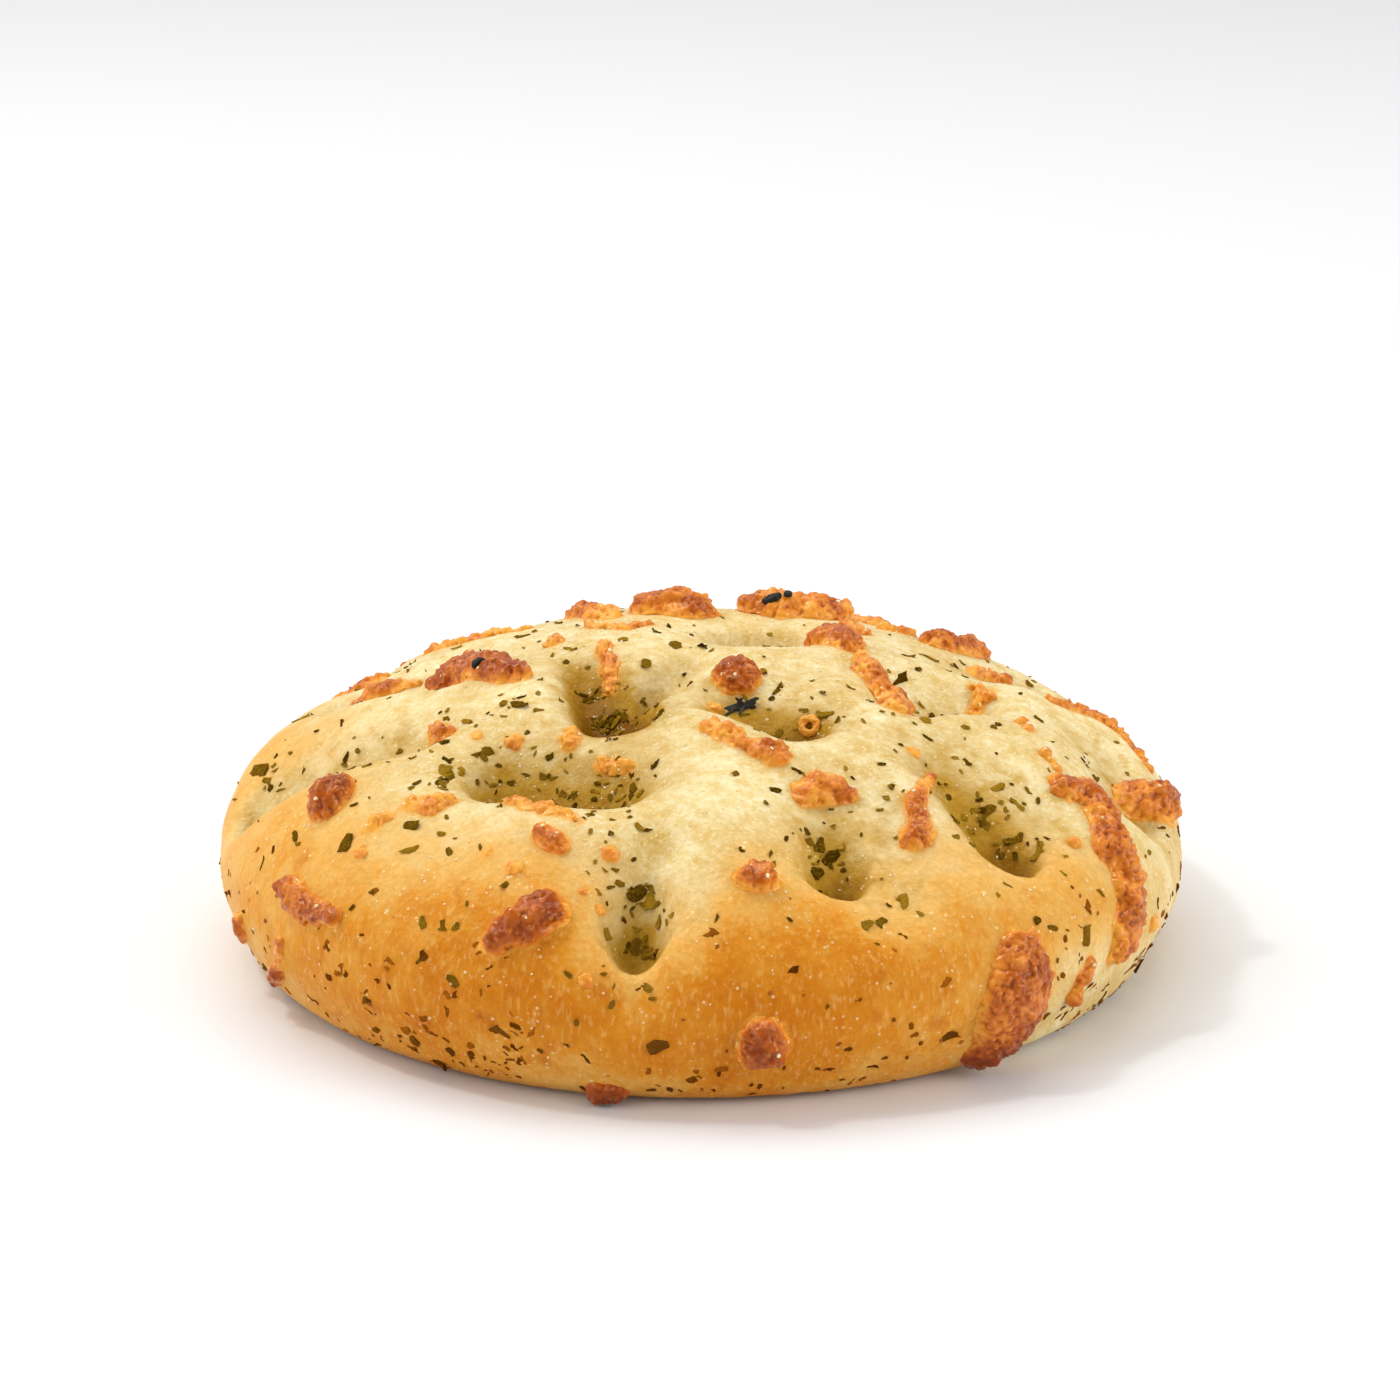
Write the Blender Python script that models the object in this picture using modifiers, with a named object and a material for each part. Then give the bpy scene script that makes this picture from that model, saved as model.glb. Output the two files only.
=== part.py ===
"""Round cheese and herb flatbread. Metres, +Z up, the origin at the middle of its flat base.

The dough is one solid with deep finger pits, and its dried herb leaves and small cheese crumbs are
fused to it. Each browned piece of cheese as large as a berry is a solid of its own, which sits on
the crust. The front of the bread looks along -Y.
"""

import math
import random

import bmesh
import bpy
from mathutils import Matrix, Vector, noise
from mathutils.bvhtree import BVHTree

MM = 0.001

# Driving dimensions of the dough
RADIUS = 75.0 * MM  # half of the 150 mm diameter, at the widest ring
HEIGHT = 46.0 * MM  # from the base to the crown
WIDEST_AT = 15.0 * MM  # height of the widest ring above the base
UNDERSIDE_DEPTH = 35.0 * MM  # half height of the ellipse that the lower flank follows
BASE_ROUNDING = 5.0 * MM  # rounding where the flank meets the flat base
HEART = Vector((0.0, 0.0, WIDEST_AT))  # toppings are placed by the direction seen from here

# Finger pits. Each is a stroke pressed straight down into the crown. Angles run round the bread from
# its front, positive towards +X. A stroke has a deep end and a shallow end, each an angle in degrees
# and a reach from the middle in mm, then half widths and depths in mm at those two ends, and a lean:
# the share by which the outer wall is steeper than the inner one.
PITS = {
    "front_notch": ((-8, 65), (-7, 57), (7.5, 6), (12, 4), 0.1),
    "front_notch_lip": ((-8, 75), (-8, 70), (9, 8), (6, 5), 0.0),
    "front_right": ((20, 59), (22, 49), (7.5, 8), (10, 4), 0.3),
    "front_right_slope": ((25, 64), (31, 50), (13, 12), (4, 3), 0.2),
    "right_shoulder": ((48, 62), (51, 48), (8, 8), (10, 5), 0.3),
    "right_shoulder_slope": ((55, 58), (60, 44), (14, 13), (4, 3), 0.2),
    "front_left_bowl": ((-41, 45), (-20, 42), (9, 9), (11, 11), 0.4),
    "front_left_slope": ((-42, 36), (-24, 32), (12, 12), (3, 3), 0.2),
    "inner_left": ((-38, 22.5), (-88, 18.5), (8, 7), (13, 5), 0.3),
    "inner_middle": ((-43, 11.5), (-80, 2), (6.5, 8), (9, 4), 0.3),
    "inner_right": ((16, 18), (34, 27), (8, 8), (5, 9), 0.4),
    "inner_right_slope": ((36, 18), (58, 15), (8, 9), (4, 2), 0.2),
    "crown_back": ((163, 21), (145, 25), (7.5, 8), (8, 7), 0.3),
    "right_saddle": ((78, 35), (89, 43), (8, 8), (7, 7), 0.4),
    "right_edge": ((78, 69), (88, 63), (7, 7), (6, 4), 0.3),
    "left_fold": ((-84, 69), (-74, 49), (9, 9), (9, 8), 0.4),
    "left_back_fold": ((-107, 58), (-103, 42), (9, 8), (7, 5), 0.4),
    "right_back": ((116, 60), (110, 46), (9, 9), (6, 3), 0.3),
    "rear_right": ((140, 68), (141, 58), (10, 9), (9, 4), 0.3),
    "rear_middle": ((172, 68), (170, 58), (10, 9), (10, 4), 0.3),
    "rear_left": ((-150, 68), (-149, 58), (10, 9), (10, 4), 0.3),
    "rear_far_left": ((-122, 71), (-121, 63), (8, 8), (6, 4), 0.3),
}
SKIRT_REACH = 2.3  # the puffed shoulder of a pit reaches this many half widths out
SKIRT_SHARE = 0.35  # the share of a pit's depth that its shoulder takes
PIT_BLEND = 3.0  # how strongly the deepest of several pits wins where they meet
FLANK_LOW = 6.0 * MM  # pits leave the flank alone below this height ...
FLANK_HIGH = 20.0 * MM  # ... and act in full above this one
RISE_UNEVENNESS = 0.8 * MM  # how far the baked dough swells and sags ...
RISE_WAVELENGTH = 34.0 * MM  # ... from its even round, in patches of about this size

DOUGH_VOXEL = 1.2 * MM
DOUGH_TRIANGLES = 4600
BASE_SNAP = 0.4 * MM  # points this low lie on the flat base
TOUCH_GAP = 0.4 * MM  # between the crust and the cheese on it

# Cheese pieces: the height above the crust in mm, then the points of the spine. Each point has its
# angle round the bread, its elevation seen from the heart of the bread, and the half width in mm.
CHEESE = {
    "cheese_left_corner": (3.0, ((-117, 10.5, 1.6), (-119, 13, 2.2), (-119, 16, 1.7))),
    "cheese_left_rim": (1.9, ((-111, 14.5, 1.6), (-113, 17, 2.1), (-112, 20, 1.9), (-111, 23, 1.3))),
    "cheese_back_left": (1.4, ((-127, 20, 1.7), (-128, 25, 1.8), (-131, 30, 1.7), (-135, 34, 1.3))),
    "cheese_big_left": (
        4.4,
        ((-108.2, 27, 2.9), (-108.3, 31, 4.5), (-102, 36, 4.6), (-92, 41, 3.4), (-82, 45.6, 2.3)),
    ),
    "cheese_left_dot": (4.6, ((-62.4, 15.7, 4.2), (-61.8, 15.2, 4.3))),
    "cheese_left_flat": (1.9, ((-48, 19, 2.1), (-45, 19.5, 2.4), (-42.8, 21.3, 1.4))),
    "cheese_left_small": (1.7, ((-50.6, 15.2, 1.9), (-49.6, 16.8, 1.5))),
    "cheese_left_top": (2.4, ((-73, 27.5, 2.2), (-66, 29, 2.4))),
    "cheese_left_drop": (1.9, ((-41.8, 41.8, 1.7), (-38, 38.3, 1.8))),
    "cheese_high_drop": (2.0, ((-121, 47.5, 1.6), (-118, 47.5, 1.6))),
    "cheese_pit_rim": (
        1.6,
        ((-44, 23.2, 1.1), (-36, 23.2, 1.4), (-29, 23, 1.7), (-24, 23.2, 1.6), (-19, 22, 1.2)),
    ),
    "cheese_two_lobed": (3.0, ((-23.6, 19.7, 1.9), (-20.3, 18.3, 2.3))),
    "cheese_ridge_strand": (1.8, ((-122, 59, 1.3), (-108, 62, 1.7), (-91, 64, 1.8), (-76, 61, 1.3))),
    "cheese_left_strand": (3.0, ((-56.7, 5.8, 2.5), (-53.7, 5, 2.6), (-50, 4.9, 2.1), (-46.2, 5, 1.5))),
    "cheese_left_burnt": (1.8, ((-56, 0, 1.2), (-58, -4, 1.7), (-62, -7.5, 1.8))),
    "cheese_left_edge": (2.0, ((-68.8, -1.8, 1.9), (-69.3, -3.8, 2.1))),
    "cheese_front_strand": (3.8, ((-24, 7, 2.5), (-21.5, 8.8, 3.0), (-18.9, 10.8, 3.3))),
    "cheese_middle_small": (2.0, ((-26, 35, 1.5), (-22, 34.5, 2.0), (-19, 35.5, 1.5))),
    "cheese_base_lump": (2.6, ((-12, -10, 2.4), (-10, -10, 2.4))),
    "cheese_back_small": (3.0, ((-150, 33, 2.4), (-151, 38, 2.9), (-152.5, 42, 2.5))),
    "cheese_back_melted": (1.4, ((-139, 47.5, 1.9), (-142, 52, 1.7), (-145, 56.5, 2.0), (-157, 55, 1.4))),
    "cheese_back_lump": (4.6, ((-164, 40.5, 3.2), (-172, 42, 4.0), (-179, 43.5, 3.3))),
    "cheese_back_ridge": (4.6, ((166, 37.5, 2.6), (159, 37, 3.4), (152, 33.5, 3.7), (147, 30.5, 2.7))),
    "cheese_chain_top": (3.6, ((133, 45, 3.0), (121, 48, 3.6), (110, 50, 3.0))),
    "cheese_chain_low": (
        3.6,
        ((99, 48, 2.2), (89, 47.5, 2.4), (83, 43.5, 2.0), (80, 39, 3.4), (74, 37.5, 3.8), (67, 38.7, 2.4)),
    ),
    "cheese_right_tail": (1.5, ((141, 36.5, 1.4), (135, 38, 1.7), (128, 39, 1.4))),
    "cheese_right_ridge": (1.8, ((136, 31, 1.7), (133, 27.5, 1.9))),
    "cheese_right_lump": (3.2, ((126, 27, 3.0), (127, 22.5, 3.4), (128, 18.5, 2.3))),
    "cheese_right_small": (1.7, ((115.5, 24, 1.6), (118, 20.8, 1.8), (120, 17.5, 1.3))),
    "cheese_middle_dot": (4.2, ((31, 72.5, 3.5), (40, 72.3, 3.6))),
    "cheese_middle_strand": (2.8, ((2.5, 45.5, 1.9), (8, 42, 2.0), (12.7, 37.9, 2.0), (17.3, 35.2, 2.7))),
    "cheese_middle_flat": (3.0, ((19, 26.6, 2.0), (24, 28.0, 3.2), (28, 25.7, 2.0))),
    "cheese_tall_strand": (
        2.8,
        ((50, 24.6, 1.2), (44, 24.3, 1.3), (38.5, 22.7, 1.6), (36, 19.8, 2.2), (33.5, 17.2, 2.7)),
    ),
    "cheese_right_strand": (1.6, ((97.6, 27.8, 1.6), (95, 26.4, 1.4), (91, 25, 1.3))),
    "cheese_right_bit": (1.5, ((80.5, 24.6, 1.2), (79, 23.4, 1.7))),
    "cheese_right_thin": (1.2, ((73, 20.3, 1.0), (70, 18.2, 1.2))),
    "cheese_right_edge": (
        1.6,
        ((98.5, 20.3, 1.4), (100.5, 16.5, 1.9), (101.5, 13.5, 2.0), (99, 11.4, 1.5), (95, 9.6, 1.4),
         (92, 8.3, 1.2)),
    ),
    "cheese_long_strand": (
        3.4,
        ((66, 16.2, 2.6), (69, 14.5, 3.0), (68, 12.6, 3.2), (65, 10.8, 3.0), (62.5, 8.4, 4.2),
         (61.5, 5.2, 3.5), (59.3, 2.5, 3.7), (57.4, -0.3, 3.4), (55.6, -1.8, 2.0)),
    ),
    "cheese_right_dot": (4.6, ((82.8, 8.0, 4.2), (84.2, 7.0, 4.0))),
    "cheese_front_dot": (3.8, ((6.8, 15.2, 2.9), (8.2, 15.2, 3.0))),
    "cheese_low_dot": (3.6, ((6.8, -1.9, 3.8), (7.0, -3.2, 3.9))),
    "cheese_low_right": (2.2, ((50.3, -1, 1.3), (48.8, -2.8, 1.8), (47.8, -4.2, 1.2))),
    "cheese_patch": (
        3.8,
        ((38.4, 2.8, 4.2), (38.0, 0, 6.2), (37.2, -3, 6.6), (36.2, -6, 5.2), (34.2, -9, 3.0)),
    ),
    "cheese_rear_dot": (3.4, ((178, 13, 3.8), (181, 13, 3.8))),
    "cheese_rear_strand": (2.6, ((-148, 8, 2.4), (-155, 11, 2.9), (-161, 16, 2.4))),
    "cheese_rear_flat": (2.2, ((155, 17, 2.4), (150, 18, 3.0), (146, 16, 2.2))),
    "cheese_rear_low": (3.0, ((-170, -4, 3.4), (-167, -5, 3.4))),
    "cheese_rear_side": (2.6, ((131, 5, 2.6), (129, 1, 3.0), (128, -3, 2.4))),
    "cheese_rear_left": (2.8, ((-130, 2, 2.6), (-134, 5, 3.2), (-137, 9, 2.6))),
}  # fmt: skip
CHEESE_SPACING = 1.3 * MM  # between the blobs that a piece is built from
CHEESE_VOXEL = 0.8 * MM
CHEESE_TRIANGLES_PER_MM2 = 0.42  # of the rough footprint, before the underside is cut
CHEESE_TRIANGLES_LEAST = 46
CHEESE_SEED = 3
DOT_SPINE = 2.0 * MM  # a piece whose spine is shorter is a round dot, without lobes
BLOB_JITTER = 0.16  # how unevenly the blobs are sized
LOBE_SHARE = 0.6  # how many blobs have a lobe beside them ...
LOBE_SIZE = 0.55  # ... of this share of their width ...
LOBE_OFFSET = 0.6  # ... set this share of their width aside

# Cheese crumbs that are smaller than a berry: angle, elevation and radius in mm. The base bears them.
CRUMBS = (
    (-58, 32, 1.5), (-48.5, 12.3, 1.4), (-51, 34, 1.7), (-13, 18, 1.6), (-25, 15, 1.6), (-30, 16, 1.2),
    (-13, 11, 1.1), (-15, 13, 1.1), (-13, 4, 1.4), (9, 62, 1.3), (51, 30, 1.2), (57, 11, 1.4),
    (66, -1.5, 1.5), (-176, 24, 1.8), (165, 3, 2.0), (-143, -1, 1.6), (144, 7, 1.5), (-95, 37, 1.2),
)  # fmt: skip
CRUMB_HEIGHT_SHARE = 0.8

# Large leaves: angle, elevation, length in mm and turn in degrees
LARGE_LEAVES = (
    (25, 62, 5.6, 10), (-53, 29.5, 3.8, 20), (-52, 24.6, 3.6, 100), (-50, 23.8, 3.2, 30), (-62, 52, 3.0, 30),
    (-55, 55, 3.4, 80), (-81, 55, 3.2, 60), (-9, 13, 3.4, 15), (-7, 12, 3.0, 100), (-8.5, 6.2, 3.6, 80),
    (-6.5, 5.3, 3.0, 20), (-92, 9, 4.2, 15), (-52, 12.6, 3.8, 110), (-4.5, -2.7, 3.8, 20),
    (91, 40.5, 3.8, 20), (52, 33, 3.3, 10), (18, 26.3, 3.3, 10), (53, 17, 3.4, 60), (58, 16.7, 2.9, 100),
    (52.7, 13, 3.2, 30), (52.7, 11, 2.9, 80), (20, 18.6, 2.9, 70), (21.5, 16.5, 3.2, 20), (18, 14.6, 2.9, 0),
    (20.5, 9, 3.0, 20), (26.7, 10.4, 3.0, 100), (-149, 76, 4.2, 90), (173, 78, 3.2, 90), (53, 62, 3.3, 60),
    (50, 2.2, 3.6, 60), (-35, -7, 3.2, 50), (-22.5, -2.8, 3.4, 150), (-32.5, -10, 2.9, 0),
    (-41.5, 14.3, 2.9, 40), (-44.3, 17, 3.2, 10), (-62, 41.6, 3.2, 20), (29, -4.5, 2.8, 30),
    (49, 46.4, 3.2, 30), (67, 34, 3.0, 20),
)  # fmt: skip
LEAF_COUNT = 96  # some of them are left out, where there is cheese
LEAF_LONGEST = 2.8  # mm
LEAF_SHORTEST = 1.8  # mm
LEAF_THICKNESS = 0.9 * MM
LEAF_SIDES = 5
LEAF_LOWEST = -12  # elevation of the lowest herbs, in degrees
LEAF_SEED = 11
LEAF_BARE_SHARE = 0.3  # how often a leaf lands on smooth crust, against 1 at the bottom of a pit
FLANK_SPREAD = 1.12  # leaves are drawn out to this many radii, of which the last are the flank's
LEAF_SPACING = 1.2 * MM  # free crust round each herb leaf
CLEARANCE = 0.8 * MM  # free crust between fused toppings and the cheese nodes

COLOURS = {
    "crust": (0.72, 0.50, 0.22, 1.0),
    "browned_cheese": (0.50, 0.15, 0.03, 1.0),
}
ROUGHNESS = {"crust": 0.55, "browned_cheese": 0.4}
SMOOTH_ANGLE = math.radians(50)


def clear_scene():
    for obj in list(bpy.data.objects):
        bpy.data.objects.remove(obj)


def make_collection(name):
    collection = bpy.data.collections.new(name)
    bpy.context.scene.collection.children.link(collection)
    return collection


def make_material(name):
    material = bpy.data.materials.new(name)
    material.use_nodes = True
    shader = material.node_tree.nodes["Principled BSDF"]
    shader.inputs["Base Color"].default_value = COLOURS[name]
    shader.inputs["Roughness"].default_value = ROUGHNESS[name]
    shader.inputs["Metallic"].default_value = 0.0
    return material


def mesh_object(name, mesh_builder, collection):
    """An object in the collection whose mesh is what the builder left behind."""
    mesh = bpy.data.meshes.new(name)
    mesh_builder.to_mesh(mesh)
    mesh_builder.free()
    obj = bpy.data.objects.new(name, mesh)
    collection.objects.link(obj)
    return obj


def apply_modifier(obj, modifier):
    bpy.context.view_layer.objects.active = obj
    bpy.ops.object.modifier_apply(modifier=modifier.name)


def remesh(obj, voxel):
    modifier = obj.modifiers.new("even_out", "REMESH")
    modifier.mode = "VOXEL"
    modifier.voxel_size = voxel
    apply_modifier(obj, modifier)


def decimate(obj, triangles):
    """Brings the mesh down to about that many triangles."""
    now = sum(len(polygon.vertices) - 2 for polygon in obj.data.polygons)
    modifier = obj.modifiers.new("fewer_faces", "DECIMATE")
    modifier.ratio = min(1.0, triangles / now)
    apply_modifier(obj, modifier)


def smoothstep(value):
    value = min(1.0, max(0.0, value))
    return value * value * (3.0 - 2.0 * value)


def on_plan(angle, reach):
    """The point on the plan at that angle from the front and that reach in mm."""
    turn = math.radians(angle)
    return Vector((math.sin(turn), -math.cos(turn))) * reach * MM


def finger_depth(x, y):
    """How far the fingers pressed the dough down over this point of the plan."""
    point = Vector((x, y))
    total = 0.0
    for deep, shallow, widths, depths, lean in PITS.values():
        start = on_plan(*deep)
        stroke = on_plan(*shallow) - start
        along = min(1.0, max(0.0, (point - start).dot(stroke) / stroke.length_squared))
        offset = point - start - stroke * along
        distance = offset.length
        if distance > 0 and point.length > 0:
            outward = offset.dot(point) / (distance * point.length)
            distance /= 1.0 - lean * outward
        width = (widths[0] + (widths[1] - widths[0]) * along) * MM
        if distance >= width * SKIRT_REACH:
            continue
        depth = (depths[0] + (depths[1] - depths[0]) * along) * MM
        skirt = smoothstep(1.0 - distance / (width * SKIRT_REACH))
        core = smoothstep(1.0 - distance / width)
        total += (depth * (SKIRT_SHARE * skirt + (1.0 - SKIRT_SHARE) * core)) ** PIT_BLEND
    return total ** (1.0 / PIT_BLEND)


def dough_blank(name, collection):
    """The smooth round before the fingers: a sphere with a flat dome, a deeper belly and a flat base."""
    builder = bmesh.new()
    bmesh.ops.create_uvsphere(builder, u_segments=160, v_segments=80, radius=RADIUS)
    for vertex in builder.verts:
        half_height = HEIGHT - WIDEST_AT if vertex.co.z > 0 else UNDERSIDE_DEPTH
        vertex.co.z = vertex.co.z * half_height / RADIUS + WIDEST_AT
    cut = bmesh.ops.bisect_plane(
        builder,
        geom=builder.verts[:] + builder.edges[:] + builder.faces[:],
        plane_co=(0, 0, 0),
        plane_no=(0, 0, 1),
        clear_inner=True,
    )
    rim = [item for item in cut["geom_cut"] if isinstance(item, bmesh.types.BMEdge)]
    bmesh.ops.contextual_create(builder, geom=rim)
    bmesh.ops.bevel(builder, geom=rim, offset=BASE_ROUNDING, segments=6, profile=0.5, affect="EDGES")
    return mesh_object(name, builder, collection)


def shape_dough(name, collection):
    obj = dough_blank(name, collection)
    remesh(obj, DOUGH_VOXEL)
    for vertex in obj.data.vertices:
        off_base = smoothstep(vertex.co.z / FLANK_LOW)
        swell = noise.noise(vertex.co / RISE_WAVELENGTH) * RISE_UNEVENNESS
        outward = (vertex.co - HEART).normalized()
        held = smoothstep((vertex.co.z - FLANK_LOW) / (FLANK_HIGH - FLANK_LOW))
        press = held * finger_depth(vertex.co.x, vertex.co.y) if held > 0 else 0.0
        vertex.co += outward * off_base * swell
        vertex.co.z -= press
    remesh(obj, DOUGH_VOXEL)
    modifier = obj.modifiers.new("soften", "SMOOTH")
    modifier.iterations = 3
    apply_modifier(obj, modifier)
    decimate(obj, DOUGH_TRIANGLES)
    for vertex in obj.data.vertices:
        if vertex.co.z < BASE_SNAP:
            vertex.co.z = 0.0
    return obj


def crust_tree(dough):
    return BVHTree.FromObject(dough, bpy.context.evaluated_depsgraph_get())


def heading(angle, elevation):
    """The direction at that angle round the bread and that elevation, in degrees."""
    turn, lift = math.radians(angle), math.radians(elevation)
    level = math.cos(lift)
    return Vector((math.sin(turn) * level, -math.cos(turn) * level, math.sin(lift)))


def on_crust(tree, angle, elevation):
    """The point of the crust in that direction from the heart, and the crust's normal there."""
    direction = heading(angle, elevation)
    point, normal, _, _ = tree.ray_cast(HEART + direction * 2 * RADIUS, -direction)
    return point, normal


def on_round(angle, elevation):
    """The point in that direction on the even round, as it was before the fingers."""
    lift = math.radians(elevation)
    half_height = HEIGHT - WIDEST_AT if elevation > 0 else UNDERSIDE_DEPTH
    reach = 1.0 / math.hypot(math.cos(lift) / RADIUS, math.sin(lift) / half_height)
    return HEART + heading(angle, elevation) * reach


def seat(point, normal, turn=0.0):
    """A place on the crust: its local Z is the crust's normal, turned about it by that angle."""
    upright = normal.to_track_quat("Z", "Y").to_matrix().to_4x4()
    return Matrix.Translation(point) @ upright @ Matrix.Rotation(turn, 4, "Z")


def spine_blobs(tree, spine):
    """Points, normals and half widths at even steps along a cheese piece's spine."""
    blobs = []
    for start, end in zip(spine, spine[1:]):
        run = (on_crust(tree, *end[:2])[0] - on_crust(tree, *start[:2])[0]).length
        steps = max(1, math.ceil(run / CHEESE_SPACING))
        for step in range(steps):
            share = step / steps
            angle, elevation, half_width = (a + (b - a) * share for a, b in zip(start, end))
            blobs.append((*on_crust(tree, angle, elevation), half_width * MM))
    angle, elevation, half_width = spine[-1]
    blobs.append((*on_crust(tree, angle, elevation), half_width * MM))
    return blobs


def cheese_piece(name, height, spine, tree, crust_cutter, collection):
    """Blobs strung along the spine, grown together, and cut off just above the crust."""
    builder = bmesh.new()
    blobs = spine_blobs(tree, spine)
    length = sum((b[0] - a[0]).length for a, b in zip(blobs, blobs[1:]))
    draw = random.Random(f"{name} {CHEESE_SEED}")
    widest = max(half_width for _, _, half_width in blobs)
    lobes = LOBE_SHARE if length > DOT_SPINE else 0.0
    for point, normal, half_width in blobs:
        wide = half_width * draw.uniform(1 - BLOB_JITTER, 1 + BLOB_JITTER)
        long = half_width * draw.uniform(1 - BLOB_JITTER, 1 + BLOB_JITTER)
        high = height * MM * math.sqrt(half_width / widest) * draw.uniform(1 - BLOB_JITTER, 1.0)
        turned = seat(point, normal, draw.uniform(0, 2 * math.pi))
        size = Matrix.Diagonal((wide, long, high, 1))
        bmesh.ops.create_icosphere(builder, subdivisions=2, radius=1.0, matrix=turned @ size)
        if draw.random() < lobes:
            aside = turned @ Matrix.Translation((half_width * LOBE_OFFSET, 0, 0))
            lobe = aside @ Matrix.Scale(LOBE_SIZE, 4) @ size
            bmesh.ops.create_icosphere(builder, subdivisions=2, radius=1.0, matrix=lobe)
    obj = mesh_object(name, builder, collection)
    remesh(obj, CHEESE_VOXEL)
    footprint = (length + 2 * widest) * 2 * widest / MM**2
    decimate(obj, max(CHEESE_TRIANGLES_LEAST, 2 * CHEESE_TRIANGLES_PER_MM2 * footprint))
    cut = obj.modifiers.new("sit_on_crust", "BOOLEAN")
    cut.operation = "DIFFERENCE"
    cut.object = crust_cutter
    apply_modifier(obj, cut)
    keep_largest_body(obj)
    return obj


def keep_largest_body(obj):
    """Drops loose scraps, so that the piece is one body."""
    builder = bmesh.new()
    builder.from_mesh(obj.data)
    left = set(builder.verts)
    bodies = []
    while left:
        body, edge = set(), [left.pop()]
        while edge:
            vertex = edge.pop()
            body.add(vertex)
            for link in vertex.link_edges:
                other = link.other_vert(vertex)
                if other in left:
                    left.remove(other)
                    edge.append(other)
        bodies.append(body)
    bodies.sort(key=len)
    for scrap in bodies[:-1]:
        bmesh.ops.delete(builder, geom=list(scrap), context="VERTS")
    builder.to_mesh(obj.data)
    builder.free()


def leaf_solid(name, length, place, collection, draw):
    """A dried leaf: a thin plate with a few uneven sides, half sunk in the crust."""
    builder = bmesh.new()
    bmesh.ops.create_cone(
        builder,
        cap_ends=True,
        segments=LEAF_SIDES,
        radius1=0.5,
        radius2=draw.uniform(0.34, 0.46),
        depth=1.0,
    )
    width = length * draw.uniform(0.5, 0.75)
    builder.transform(place @ Matrix.Diagonal((length, width, LEAF_THICKNESS, 1)))
    return mesh_object(name, builder, collection)


def crumb_solid(name, radius, place, collection):
    builder = bmesh.new()
    flat = Matrix.Diagonal((radius, radius, radius * CRUMB_HEIGHT_SHARE, 1))
    bmesh.ops.create_icosphere(builder, subdivisions=1, radius=1.0, matrix=place @ flat)
    return mesh_object(name, builder, collection)


def is_clear(point, size, taken):
    return all((point - other).length > size + room for other, room in taken)


def herb_directions(draw):
    """Seeded directions for herbs. They gather in the pits, where the oil has carried them."""
    deepest = max(depth for row in PITS.values() for depth in row[3]) * MM
    dome = HEIGHT - WIDEST_AT
    while True:
        angle = draw.uniform(-180, 180)
        reach = RADIUS * FLANK_SPREAD * math.sqrt(draw.random())
        if reach < RADIUS:
            rise = dome * math.sqrt(1 - (reach / RADIUS) ** 2)
            elevation = math.degrees(math.atan2(rise, reach))
            depth = finger_depth(*on_plan(angle, reach / MM))
        else:
            elevation = LEAF_LOWEST * (reach / RADIUS - 1) / (FLANK_SPREAD - 1)
            depth = 0.0
        if draw.random() < LEAF_BARE_SHARE + (1 - LEAF_BARE_SHARE) * depth / deepest:
            yield angle, elevation


def herb_places():
    """Angle, elevation, length in mm and turn in degrees of each leaf, the largest first."""
    draw = random.Random(LEAF_SEED)
    places = list(LARGE_LEAVES)
    taken = [(on_round(*row[:2]), row[2] * MM / 2) for row in LARGE_LEAVES]
    taken += [(on_round(*row[:2]), row[2] * MM) for row in CRUMBS]
    drawn = 0
    for angle, elevation in herb_directions(draw):
        length = LEAF_LONGEST + (LEAF_SHORTEST - LEAF_LONGEST) * drawn / LEAF_COUNT
        point = on_round(angle, elevation)
        if is_clear(point, length * MM / 2 + LEAF_SPACING, taken):
            places.append((angle, elevation, length, draw.uniform(0, 360)))
            taken.append((point, length * MM / 2))
            drawn += 1
            if drawn == LEAF_COUNT:
                return places


def fused_toppings(tree, cheese_room, collection):
    """Crumbs and leaves on the crust. Those that would touch a cheese node are left out."""
    draw = random.Random(LEAF_SEED)
    for angle, elevation, radius in CRUMBS:
        point, normal = on_crust(tree, angle, elevation)
        if is_clear(point, radius * MM + CLEARANCE, cheese_room):
            crumb_solid("crumb", radius * MM, seat(point, normal), collection)
    for angle, elevation, length, turn in herb_places():
        point, normal = on_crust(tree, angle, elevation)
        if is_clear(point, length * MM / 2 + CLEARANCE, cheese_room):
            place = seat(point, normal, math.radians(turn))
            leaf_solid("leaf", length * MM, place, collection, draw)


def fuse(obj, collection):
    """One union of the object with everything in the collection, which is then emptied."""
    modifier = obj.modifiers.new("fuse_toppings", "BOOLEAN")
    modifier.operation = "UNION"
    modifier.operand_type = "COLLECTION"
    modifier.collection = collection
    apply_modifier(obj, modifier)
    for topping in list(collection.objects):
        bpy.data.objects.remove(topping)


def finish_surface(obj, material):
    obj.data.materials.clear()
    obj.data.materials.append(material)
    obj.data.shade_smooth()
    obj.data.set_sharp_from_angle(angle=SMOOTH_ANGLE)


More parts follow.
